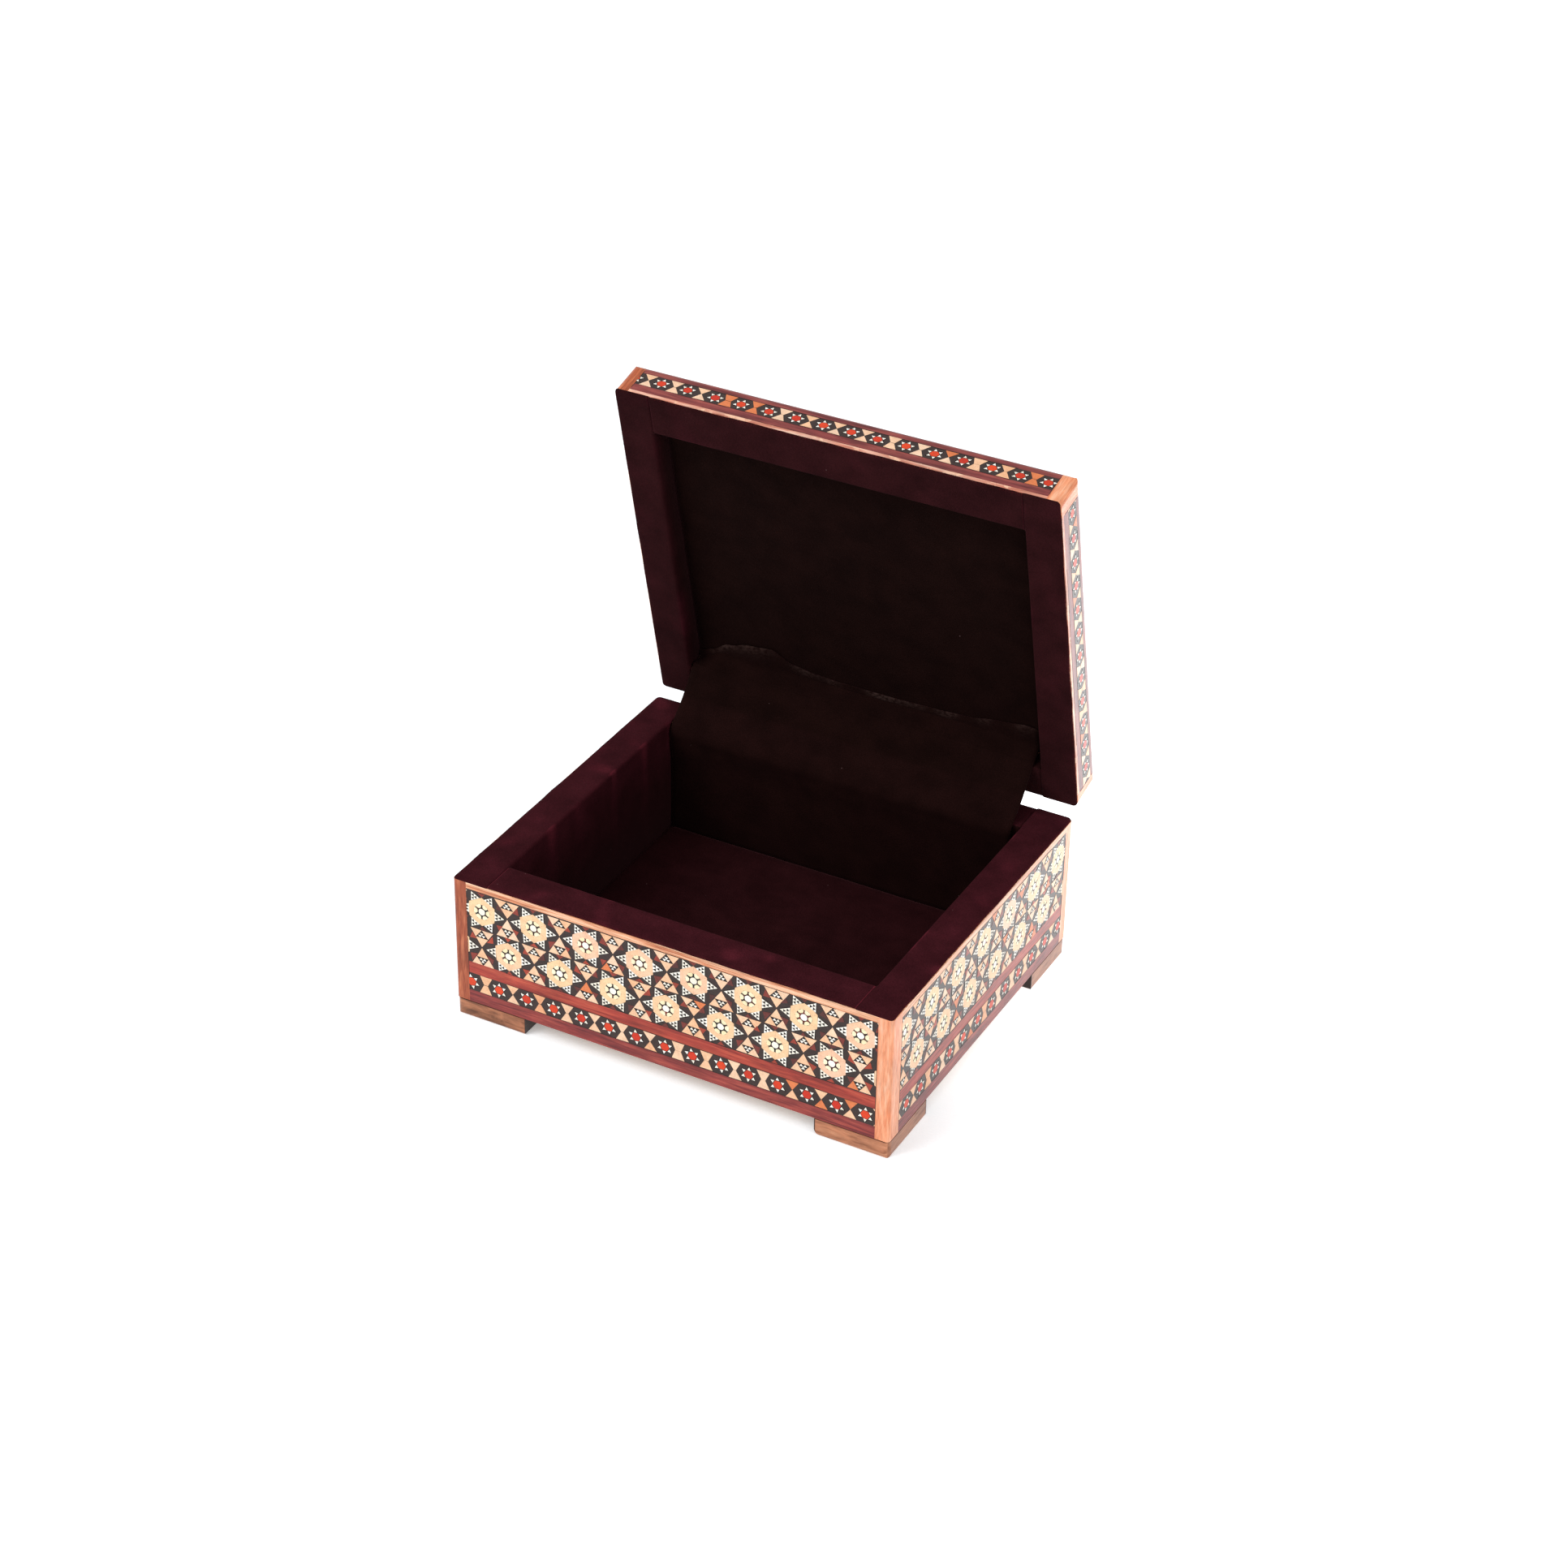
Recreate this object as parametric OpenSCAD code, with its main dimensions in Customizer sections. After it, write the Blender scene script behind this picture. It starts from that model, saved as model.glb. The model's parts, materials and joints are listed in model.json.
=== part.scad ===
// An inlaid wooden box with a hinged lid, drawn with the lid open.
// X runs along the width, Y along the depth (the front looks to -Y) and Z up.
// The origin is the centre of the base's footprint, on the plane that the feet stand on.

/* [Box] */
// Outer width, across the front
box_w = 130; // [118:1:150]
// Outer depth, front to back
box_d = 107; // [98:1:125]
// Height of the base's walls, without the feet
wall_h = 38.6; // [38:0.2:46]
// Thickness of the plain wooden boards behind the inlay
board_t = 8.4; // [7:0.2:10]
// Thickness of the bottom board
floor_t = 3; // [2:0.5:4]

/* [Lid] */
// Full height of the lid
lid_h = 11.8; // [11.8:0.1:14]
// Depth of the recess inside the lid
recess_h = 6; // [5:0.2:6.4]
// Angle the lid stands open from closed
open_angle = 76.4; // [60:0.2:90]
// Space between the two rims when the lid is shut
rim_gap = 0.3; // [0.2:0.1:0.5]

/* [Inlay] */
// Thickness of the inlay sheets and the wooden corners
inlay_t = 1.6; // [1.2:0.1:2]
// Width of a wooden corner on the front and the back
corner_x = 4.1; // [3:0.1:6]
// Width of a front corner on the left and right sides
corner_front_y = 5.2; // [3:0.1:6]
// Width of a back corner on the left and right sides
corner_back_y = 4; // [3:0.1:6]
// Height of the pale strip under the base's rim
edging_h = 1.8; // [1:0.1:3]
// Height of the small-star band on the base
band_h = 5.6; // [5:0.1:6.5]
// Height of the red border above that band
middle_border_h = 3.6; // [2:0.1:4]
// Height of the red border below it
bottom_border_h = 3.8; // [3:0.1:5]

/* [Feet] */
// Height of a foot
foot_h = 5.2; // [4:0.1:8]
// Length of a foot along both sides
foot_len = 21.5; // [16:0.5:26]

/* [Velvet] */
// Thickness of the velvet with its pile
velvet_t = 0.6; // [0.4:0.1:0.8]
// Thickness of the padded velvet floor
pad_t = 2; // [1:0.5:3]

/* [Hinges] */
// Distance of each hinge from the middle
hinge_x = 38; // [25:1:46]
// Width of a hinge
hinge_w = 14; // [12:0.5:18]
// Height of a hinge leaf on the wood
leaf_h = 7.8; // [6:0.2:8]
// Thickness of a hinge leaf
leaf_t = 0.7; // [0.5:0.1:0.8]
// Radius of the hinge pin
pin_r = 0.75; // [0.6:0.05:0.9]
// Outer radius of the knuckles
knuckle_r = 1.7; // [1.6:0.05:1.8]

/* [Hidden] */
$fn = 48;

// The four sides, in the order that a quarter turn about Z brings them round
FRONT = 0;
RIGHT = 1;
BACK = 2;
LEFT = 3;
SIDES = [FRONT, RIGHT, BACK, LEFT];

// A sliver that makes cutting tools and joined solids run past each other's faces
over = 0.02;

// Heights on the base
rim_z = foot_h + wall_h;
wood_top_z = rim_z - velvet_t;
panel_top_z = wood_top_z - edging_h;
bottom_border_z = foot_h + bottom_border_h;
band_top_z = bottom_border_z + band_h;
panel_z = band_top_z + middle_border_h;
floor_z = foot_h + floor_t;

// The bare back boards sit a little lower, to leave room for the velvet strip over them
back_drop = 0.4;

// Extra thickness of the front board and of the lid's front rail
front_extra = 0.8;
lid_front_extra = 1.7;

// Half sizes of the wooden core, inside the inlay
core_x = box_w / 2 - inlay_t;
core_y = box_d / 2 - inlay_t;

// Inner faces of the boards, then of the velvet on them
wood_x = core_x - board_t;
wood_back_y = core_y - board_t;
wood_front_y = -(core_y - board_t - front_extra);
lid_wood_front_y = -(core_y - board_t - lid_front_extra);
lining_x = wood_x - velvet_t;
lining_front_y = wood_front_y + velvet_t;
lid_lining_front_y = lid_wood_front_y + velvet_t;

// Heights in the lid, measured up from its rim while it is shut
lip_h = 1;
panel_card_t = 1;
top_sheet_t = 1.2;
lid_wood_h = recess_h + panel_card_t;
lid_board_top_h = lid_h - top_sheet_t;
lid_lip_top_h = velvet_t + lip_h;
lid_lower_border_h = 2.5;
lid_upper_border_h = 1.8;
lid_band_bottom_h = lid_lip_top_h + lid_lower_border_h;
lid_band_top_h = lid_board_top_h - lid_upper_border_h;

// The sheet on top of the lid: widths of the frames round the star panel
top_outer_w = 4;
top_band_w = 4.9;
top_inner_w = 3;
top_edge_r = 1.8;

// Space that keeps mitred strips apart at the corners
mitre_gap = 0.05;

// The hinge axis, behind the back face and a little under the base's rim
axis_out = leaf_t + knuckle_r - over;
axis_drop = 0.58;
axis_y = box_d / 2 + axis_out;
axis_z = rim_z - axis_drop;
lid_rim_z = rim_z + rim_gap;

// The hinges' knuckles and nails
bore_clearance = 0.05;
seat_clearance = 0.01;
knuckle_gap = 0.15;
mid_knuckle_w = 4.6;
pin_head_r = 1.1;
pin_head_t = 0.4;
leaf_top_drop = 1.5;
lid_leaf_rise = 0.9;
nail_x = 4.4;
nail_drop = 6.2;
nail_rise = 5.6;
nail_r = 0.45;
nail_len = 5.5;
nail_head_r = 1.1;
nail_head_t = 0.5;

// The velvet strip that joins the base and the lid inside the hinge
strip_x0 = -53.8;
strip_x1 = 52;
strip_clear = 0.1;

corner_r = 1;
lid_corner_r = 1.8;
foot_r = 0.6;
foot_end_r = 2;
foot_plan_r = 1.6;
foot_seam = 0.25;

// ---- Helpers ----

// Distance from the middle to a side's face, and half the length of that side
function reach(side) = side % 2 == 0 ? box_d / 2 : box_w / 2;
function half_run(side) = side % 2 == 0 ? box_w / 2 : box_d / 2;

// Width of the wooden corner at each end of a side, seen from outside it
function corner_at_start(side) =
    side == RIGHT ? corner_front_y : side == LEFT ? corner_back_y : corner_x;
function corner_at_end(side) =
    side == RIGHT ? corner_back_y : side == LEFT ? corner_front_y : corner_x;

// Turns a shape drawn for the front round to another side
module on_side(side) rotate([0, 0, 90 * side]) children();

// A flat strip on one side, between the wooden corners
module side_strip(side, z0, z1, thickness = inlay_t) {
    start = -half_run(side) + corner_at_start(side);
    end = half_run(side) - corner_at_end(side);
    on_side(side)
        translate([start, -reach(side), z0])
            cube([end - start, thickness, z1 - z0]);
}

// A block given by two opposite corners
module block(low, high) translate(low) cube(high - low);

// Draws children in the shut position and swings them open about the hinge axis
module opened()
    translate([0, axis_y, axis_z])
        rotate([-open_angle, 0, 0])
            translate([0, -axis_y, lid_rim_z - axis_z])
                children();

// The same for a point [y, height above the lid's rim]
function opened_point(p) =
    let(y = p[0] - axis_y, z = p[1] + lid_rim_z - axis_z)
    [
        axis_y + y * cos(open_angle) + z * sin(open_angle),
        axis_z - y * sin(open_angle) + z * cos(open_angle)
    ];

// The angle of a wooden corner, with its outer edge at the origin and rounded
module corner_profile(leg_x, leg_y, r)
    difference() {
        square([leg_x, leg_y]);
        translate([inlay_t, inlay_t]) square([leg_x, leg_y]);
        difference() {
            translate([-over, -over]) square(r + over);
            translate([r, r]) circle(r);
        }
    }

// A wooden corner: right and back are 0 or 1
module wooden_corner(right, back, z0, z1, r = corner_r)
    translate([(right - 0.5) * box_w, (back - 0.5) * box_d, z0])
        mirror([right, 0, 0])
            mirror([0, back, 0])
                linear_extrude(z1 - z0)
                    corner_profile(corner_x, back == 1 ? corner_back_y : corner_front_y, r);

// One of four mitred strips that frame the lid's top
module mitred_strip(side, inset, width) {
    a = half_run(side) - inset - mitre_gap;
    b = a - width;
    y = -reach(side) + inset;
    on_side(side)
        linear_extrude(top_sheet_t)
            polygon([[-a, y], [a, y], [b, y + width], [-b, y + width]]);
}

// A rectangle whose two lower corners are rounded, r0 at the left and r1 at the right
module rounded_below(width, height, r0, r1)
    union() {
        translate([0, max(r0, r1)]) square([width, height - max(r0, r1)]);
        translate([r0, 0]) square([width - r0 - r1, height]);
        translate([r0, r0]) circle(r0);
        translate([width - r1, r1]) circle(r1);
        if (r1 > r0) translate([0, r0]) square([width / 2, height - r0]);
        if (r0 > r1) translate([width / 2, r1]) square([width / 2, height - r1]);
    }

// ---- The base ----

module base_floor_board()
    color("burlywood")
        block([-wood_x, wood_front_y, foot_h], [wood_x, wood_back_y, floor_z]);

module base_wall_front()
    color("peru")
        block([-core_x, -core_y, foot_h], [core_x, wood_front_y, wood_top_z]);

module base_wall_back()
    color("peru")
        difference() {
            block([-core_x, wood_back_y, foot_h], [core_x, core_y, wood_top_z - back_drop]);
            base_nail_places() nail_hole();
        }

module base_wall_side(side)
    color("peru")
        on_side(side)
            block(
                [side == RIGHT ? wood_front_y : -wood_back_y, -core_x, foot_h],
                [side == RIGHT ? wood_back_y : -wood_front_y, -wood_x, wood_top_z]
            );

module base_corner(right, back)
    color(right == 1 ? "sandybrown" : "sienna")
        wooden_corner(right, back, foot_h, wood_top_z);

module base_star_panel(side)
    color("darkseagreen") {
        if (side == BACK)
            difference() {
                side_strip(side, panel_z, panel_top_z);
                base_nail_places() nail_hole();
            }
        else
            side_strip(side, panel_z, panel_top_z);
    }

module base_star_band(side) color("dimgray") side_strip(side, bottom_border_z, band_top_z);

module base_rim_edging()
    color("navajowhite") for (side = SIDES) side_strip(side, panel_top_z, wood_top_z);

module base_middle_border()
    color("brown") for (side = SIDES) side_strip(side, band_top_z, panel_z);

module base_bottom_border()
    color("brown") for (side = SIDES) side_strip(side, foot_h, bottom_border_z);

// A foot under a corner of the base, stepped in at the top where it meets the boards;
// end_r rounds the end that is seen from the front
module foot(right, back, end_r)
    color("sienna")
        translate([(right - 0.5) * box_w, (back - 0.5) * box_d, 0])
            mirror([right, 0, 0])
                mirror([0, back, 0])
                    intersection() {
                        translate([0, foot_len, 0])
                            rotate([90, 0, 0])
                                linear_extrude(foot_len)
                                    rounded_below(foot_len, foot_h, foot_r, end_r);
                        rotate([90, 0, 90])
                            linear_extrude(foot_len)
                                rounded_below(foot_len, foot_h, foot_r, foot_r);
                        union() {
                            linear_extrude(foot_h - foot_seam) foot_plan(foot_len);
                            translate([foot_seam, foot_seam, 0])
                                linear_extrude(foot_h) foot_plan(foot_len - 2 * foot_seam);
                        }
                    }

module foot_plan(length)
    difference() {
        square(length);
        difference() {
            translate([-over, -over]) square(foot_plan_r + over);
            translate([foot_plan_r, foot_plan_r]) circle(foot_plan_r);
        }
    }

// ---- The velvet ----

// The velvet of one side wall: over the rim and down the inside
module velvet_side(right, front_y, z0, rim, flip)
    color("maroon")
        mirror([1 - right, 0, 0]) {
            flange = flip ? [rim, rim + velvet_t] : [rim - velvet_t, rim];
            block([lining_x, -box_d / 2, flange[0]], [box_w / 2, box_d / 2, flange[1]]);
            block([lining_x, front_y, min(z0, rim)], [wood_x, wood_back_y, max(z0, rim)]);
        }

// The velvet of the front wall, between the two side pieces
module velvet_front(wood_y, z0, rim, flip)
    color("maroon") {
        flange = flip ? [rim, rim + velvet_t] : [rim - velvet_t, rim];
        y = wood_y + velvet_t;
        block([-lining_x, -box_d / 2, flange[0]], [lining_x, y, flange[1]]);
        block([-lining_x, wood_y, min(z0, rim)], [lining_x, y, max(z0, rim)]);
    }

// The padded floor, short of the back wall by the velvet strip that runs down behind it
module velvet_base_floor()
    color("maroon")
        block(
            [-lining_x, lining_front_y, floor_z],
            [lining_x, wood_back_y - velvet_t - 2 * strip_clear, floor_z + pad_t]
        );

// The middle line of the strip, from the lid's panel to the base's floor, as [y, z]
function strip_line() =
    let(
        half = velvet_t / 2 + strip_clear,
        lid_y = box_d / 2,
        panel_h = recess_h - half,
        wall_y = wood_back_y - half
    )
    [
        opened_point([lid_y - 17, panel_h]),
        opened_point([lid_y - 14.5, panel_h - 0.2]),
        opened_point([wood_back_y - half - 0.6, velvet_t + 1.2]),
        opened_point([wood_back_y - half, velvet_t - 0.3]),
        [wall_y + 5.2, rim_z + 5.4],
        [wall_y + 0.6, rim_z + 0.2],
        [wall_y, rim_z - 1.2],
        [wall_y, floor_z + strip_clear]
    ];

function unit(v) = v / norm(v);

// The normal of a line of points at point i
function line_normal(points, i) =
    let(
        before = points[max(i - 1, 0)],
        after = points[min(i + 1, len(points) - 1)],
        along = unit(after - before)
    )
    [-along[1], along[0]];

module velvet_hinge_strip() {
    line = strip_line();
    last = len(line) - 1;
    one_side = [for (i = [0:last]) line[i] + line_normal(line, i) * velvet_t / 2];
    other_side = [for (i = [last:-1:0]) line[i] - line_normal(line, i) * velvet_t / 2];
    color("maroon")
        translate([strip_x0, 0, 0])
            rotate([90, 0, 90])
                linear_extrude(strip_x1 - strip_x0)
                    polygon(concat(one_side, other_side));
}

// ---- The lid, drawn shut with its rim at height 0, then opened ----

module lid_top_board()
    color("burlywood")
        opened()
            block([-core_x, -core_y, lid_wood_h], [core_x, core_y, lid_board_top_h]);

// A rail of the lid, with the bare lip that shows outside between the corners
module lid_rail(side)
    color("peru")
        opened() {
            side_strip(side, velvet_t, lid_lip_top_h, inlay_t + over);
            if (side == FRONT)
                block([-core_x, -core_y, velvet_t], [core_x, lid_wood_front_y, lid_wood_h]);
            else if (side == RIGHT)
                block([wood_x, lid_wood_front_y, velvet_t], [core_x, wood_back_y, lid_wood_h]);
            else
                block([-core_x, lid_wood_front_y, velvet_t], [-wood_x, wood_back_y, lid_wood_h]);
        }

module lid_rail_back()
    color("peru")
        opened()
            difference() {
                union() {
                    side_strip(BACK, velvet_t, lid_lip_top_h, inlay_t + over);
                    block(
                        [-core_x, wood_back_y, velvet_t + back_drop],
                        [core_x, core_y, lid_wood_h]
                    );
                }
                lid_nail_places() nail_hole();
            }

// A corner of the lid, which reaches up through the top sheet
module lid_corner(right, back)
    color(right == 1 ? "sandybrown" : "burlywood")
        opened()
            difference() {
                wooden_corner(right, back, velvet_t, lid_h, lid_corner_r);
                top_edge(back == 1 ? BACK : FRONT);
                top_edge(right == 1 ? RIGHT : LEFT);
            }

module lid_star_band(side)
    color("dimgray")
        opened()
            difference() {
                side_strip(side, lid_band_bottom_h, lid_band_top_h);
                if (side == BACK) lid_nail_places() nail_hole();
            }

module lid_lower_border()
    color("brown")
        opened()
            for (side = SIDES) side_strip(side, lid_lip_top_h, lid_band_bottom_h);

module lid_upper_border()
    color("brown")
        opened()
            for (side = SIDES)
                difference() {
                    side_strip(side, lid_band_top_h, lid_board_top_h);
                    top_edge(side);
                }

// The space under a quarter-round edge, along one side of the lid's top
module top_edge(side) {
    length = 2 * half_run(side) + 2 * over;
    on_side(side)
        translate([-length / 2, -reach(side), lid_h])
            rotate([90, 0, 90])
                linear_extrude(length)
                    difference() {
                        translate([-over, -top_edge_r]) square(top_edge_r + over);
                        translate([top_edge_r, -top_edge_r]) circle(top_edge_r);
                    }
}

// The room that a corner of the lid takes up in the top sheet
module corner_notch(right, back) {
    leg_y = back == 1 ? corner_back_y : corner_front_y;
    translate([(right - 0.5) * box_w, (back - 0.5) * box_d, lid_board_top_h - over])
        mirror([right, 0, 0])
            mirror([0, back, 0])
                linear_extrude(top_sheet_t + 2 * over)
                    difference() {
                        translate([-over, -over]) square([corner_x + over, leg_y + over]);
                        translate([inlay_t, inlay_t]) square([corner_x, leg_y]);
                    }
}

module lid_top_outer_border()
    color("brown")
        opened()
            for (side = SIDES)
                difference() {
                    translate([0, 0, lid_board_top_h]) mitred_strip(side, 0, top_outer_w);
                    top_edge(side);
                    for (right = [0, 1], back = [0, 1])
                        corner_notch(right, back);
                }

module lid_top_star_band()
    color("dimgray")
        opened()
            for (side = SIDES)
                translate([0, 0, lid_board_top_h]) mitred_strip(side, top_outer_w, top_band_w);

module lid_top_inner_border()
    color("brown")
        opened()
            for (side = SIDES)
                translate([0, 0, lid_board_top_h])
                    mitred_strip(side, top_outer_w + top_band_w, top_inner_w);

module lid_top_star_panel() {
    inset = top_outer_w + top_band_w + top_inner_w;
    x = box_w / 2 - inset;
    y = box_d / 2 - inset;
    color("darkseagreen")
        opened() block([-x, -y, lid_board_top_h], [x, y, lid_h]);
}

module velvet_lid_panel()
    color("maroon")
        opened()
            block([-lining_x, lid_lining_front_y, recess_h], [lining_x, wood_back_y, lid_wood_h]);

// ---- The hinges ----

// Sets children, drawn along +X, on the hinge axis of one hinge
module on_axis(x) translate([x, axis_y, axis_z]) rotate([0, 90, 0]) children();

module base_nail_places()
    for (x = [-hinge_x, hinge_x], dx = [-nail_x, nail_x])
        translate([x + dx, box_d / 2, rim_z - nail_drop]) rotate([90, 0, 0]) children();

module lid_nail_places()
    for (x = [-hinge_x, hinge_x], dx = [-nail_x, nail_x])
        translate([x + dx, box_d / 2, nail_rise]) rotate([90, 0, 0]) children();

// Drawn with the nail pointing along +Z and the wood's face at 0
module nail_hole() translate([0, 0, -over]) cylinder(h = nail_len + over, r = nail_r);

module nail() {
    dome_r = 1.5;
    translate([0, 0, -leaf_t]) cylinder(h = nail_len + leaf_t, r = nail_r);
    rotate_extrude()
        intersection() {
            translate([0, dome_r - leaf_t - nail_head_t]) circle(dome_r);
            translate([0, -leaf_t - nail_head_t]) square([nail_head_r, nail_head_t]);
        }
}

// The slope between a leaf and its knuckles, from the face of the wood outwards
module leaf_web()
    polygon([[0.25, 0.1], [axis_out, 0], [axis_out - 0.3, 1.5], [leaf_t, 3], [0.25, 3]]);

// The two outer knuckles and the leaf on the base
module hinge_base_leaf(x) {
    outer_w = (hinge_w - mid_knuckle_w) / 2;
    color("goldenrod")
        difference() {
            union() {
                translate([x - hinge_w / 2, box_d / 2, rim_z - leaf_top_drop - leaf_h])
                    cube([hinge_w, leaf_t, leaf_h]);
                for (x0 = [-hinge_w / 2, mid_knuckle_w / 2]) {
                    on_axis(x + x0) cylinder(h = outer_w, r = knuckle_r);
                    translate([x + x0, box_d / 2, axis_z])
                        mirror([0, 0, 1])
                            rotate([90, 0, 90])
                                linear_extrude(outer_w) leaf_web();
                }
            }
            on_axis(x - hinge_w / 2 - over)
                cylinder(h = hinge_w + 2 * over, r = pin_r + seat_clearance);
            base_nail_places() translate([0, 0, -1]) cylinder(h = 2, r = nail_r + seat_clearance);
        }
}

// The middle knuckle and the leaf on the lid
module hinge_lid_leaf(x) {
    middle_w = mid_knuckle_w - 2 * knuckle_gap;
    color("goldenrod")
        opened()
            difference() {
                union() {
                    translate([x - hinge_w / 2, box_d / 2, lid_leaf_rise])
                        cube([hinge_w, leaf_t, leaf_h]);
                    translate([0, 0, -lid_rim_z]) {
                        on_axis(x - middle_w / 2) cylinder(h = middle_w, r = knuckle_r);
                        translate([x - middle_w / 2, box_d / 2, axis_z])
                            rotate([90, 0, 90])
                                linear_extrude(middle_w) leaf_web();
                    }
                }
                translate([0, 0, -lid_rim_z])
                    on_axis(x - hinge_w)
                        cylinder(h = 2 * hinge_w, r = pin_r + bore_clearance);
                lid_nail_places()
                    translate([0, 0, -1]) cylinder(h = 2, r = nail_r + seat_clearance);
            }
}

module hinge_pins()
    color("darkgoldenrod")
        for (x = [-hinge_x, hinge_x]) {
            on_axis(x - hinge_w / 2) cylinder(h = hinge_w, r = pin_r);
            on_axis(x - hinge_w / 2 - pin_head_t) cylinder(h = pin_head_t, r = pin_head_r);
            on_axis(x + hinge_w / 2) cylinder(h = pin_head_t, r = pin_head_r);
        }

module hinge_base_nails() color("gold") base_nail_places() nail();

module hinge_lid_nails() color("gold") opened() lid_nail_places() nail();

// ---- Every node ----

base_floor_board();
base_wall_front();
base_wall_side(RIGHT);  // base_wall_right
base_wall_back();
base_wall_side(LEFT);  // base_wall_left
base_corner(0, 0);  // base_corner_front_left
base_corner(1, 0);  // base_corner_front_right
base_corner(0, 1);  // base_corner_back_left
base_corner(1, 1);  // base_corner_back_right
base_star_panel(FRONT);  // base_star_panel_front
base_star_panel(RIGHT);  // base_star_panel_right
base_star_panel(BACK);  // base_star_panel_back
base_star_panel(LEFT);  // base_star_panel_left
base_star_band(FRONT);  // base_star_band_front
base_star_band(RIGHT);  // base_star_band_right
base_star_band(BACK);  // base_star_band_back
base_star_band(LEFT);  // base_star_band_left
base_rim_edging();
base_middle_border();
base_bottom_border();
foot(0, 0, foot_r);  // foot_front_left
foot(1, 0, foot_end_r);  // foot_front_right
foot(0, 1, foot_r);  // foot_back_left
foot(1, 1, foot_r);  // foot_back_right
velvet_side(0, wood_front_y, floor_z, rim_z, false);  // velvet_base_left
velvet_side(1, wood_front_y, floor_z, rim_z, false);  // velvet_base_right
velvet_front(wood_front_y, floor_z, rim_z, false);  // velvet_base_front
velvet_base_floor();
velvet_hinge_strip();
lid_top_board();
lid_rail(FRONT);  // lid_rail_front
lid_rail(RIGHT);  // lid_rail_right
lid_rail_back();
lid_rail(LEFT);  // lid_rail_left
lid_corner(0, 0);  // lid_corner_front_left
lid_corner(1, 0);  // lid_corner_front_right
lid_corner(0, 1);  // lid_corner_back_left
lid_corner(1, 1);  // lid_corner_back_right
lid_star_band(FRONT);  // lid_star_band_front
lid_star_band(RIGHT);  // lid_star_band_right
lid_star_band(BACK);  // lid_star_band_back
lid_star_band(LEFT);  // lid_star_band_left
lid_upper_border();
lid_lower_border();
lid_top_outer_border();
lid_top_star_band();
lid_top_inner_border();
lid_top_star_panel();
opened() velvet_side(0, lid_wood_front_y, lid_wood_h, 0, true);  // velvet_lid_left
opened() velvet_side(1, lid_wood_front_y, lid_wood_h, 0, true);  // velvet_lid_right
opened() velvet_front(lid_wood_front_y, lid_wood_h, 0, true);  // velvet_lid_front
velvet_lid_panel();
hinge_base_leaf(-hinge_x);  // hinge_base_leaf_left
hinge_base_leaf(hinge_x);  // hinge_base_leaf_right
hinge_lid_leaf(-hinge_x);  // hinge_lid_leaf_left
hinge_lid_leaf(hinge_x);  // hinge_lid_leaf_right
hinge_pins();
hinge_base_nails();
hinge_lid_nails();
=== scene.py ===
import json
import math
import random

import bmesh
import bpy
from mathutils import Matrix, Vector, noise


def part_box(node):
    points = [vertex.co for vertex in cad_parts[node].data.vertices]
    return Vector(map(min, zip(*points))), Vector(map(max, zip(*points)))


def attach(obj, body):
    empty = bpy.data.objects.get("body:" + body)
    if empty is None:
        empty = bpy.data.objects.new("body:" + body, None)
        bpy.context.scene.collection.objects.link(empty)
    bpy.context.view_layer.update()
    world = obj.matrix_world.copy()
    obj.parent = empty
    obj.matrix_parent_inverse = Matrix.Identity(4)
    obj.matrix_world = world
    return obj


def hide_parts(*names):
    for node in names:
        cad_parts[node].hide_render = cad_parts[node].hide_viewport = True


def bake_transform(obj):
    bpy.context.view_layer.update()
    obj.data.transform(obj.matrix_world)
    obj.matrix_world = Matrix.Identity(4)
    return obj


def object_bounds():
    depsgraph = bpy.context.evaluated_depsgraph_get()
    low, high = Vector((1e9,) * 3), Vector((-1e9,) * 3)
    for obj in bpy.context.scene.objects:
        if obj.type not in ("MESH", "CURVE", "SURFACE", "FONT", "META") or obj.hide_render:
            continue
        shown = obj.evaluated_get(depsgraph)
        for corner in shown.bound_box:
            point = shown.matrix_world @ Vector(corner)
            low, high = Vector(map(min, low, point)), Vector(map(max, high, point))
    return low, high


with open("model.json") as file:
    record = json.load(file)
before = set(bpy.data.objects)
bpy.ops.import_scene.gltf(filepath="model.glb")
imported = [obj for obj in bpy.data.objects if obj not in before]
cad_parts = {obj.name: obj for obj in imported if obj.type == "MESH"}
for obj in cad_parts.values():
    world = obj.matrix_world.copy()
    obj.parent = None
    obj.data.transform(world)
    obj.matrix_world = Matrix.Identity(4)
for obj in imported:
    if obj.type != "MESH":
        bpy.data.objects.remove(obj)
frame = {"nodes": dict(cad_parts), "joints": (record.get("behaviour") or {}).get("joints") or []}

CAD_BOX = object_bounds()
MM = 0.001

# ---- The open lid ----

HINGE = frame["joints"][0]
AXIS = Vector(HINGE["pos_m"])
OPEN_ANGLE = math.radians(HINGE["range_deg"][1])
OPENED = (
    Matrix.Translation(AXIS)
    @ Matrix.Rotation(-OPEN_ANGLE, 4, "X")
    @ Matrix.Translation(-AXIS)
)
SHUT = OPENED.inverted()


def shut_box(node):
    """Lowest and highest corners of one of the lid's nodes, while the lid is shut."""
    points = [SHUT @ v.co for v in frame["nodes"][node].data.vertices]
    low = Vector([min(p[i] for p in points) for i in range(3)])
    high = Vector([max(p[i] for p in points) for i in range(3)])
    return low, high


# ---- Camera, light and floor ----

VIEW_AZIMUTH = 27.873
VIEW_ELEVATION = 32.156
VIEW_ROLL = 1.066
VIEW_DISTANCE = 979.87 * MM
VIEW_AIM = Vector((-8.64, 25.21, 47.07)) * MM
LENS = 82.622
SENSOR = 36
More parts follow.
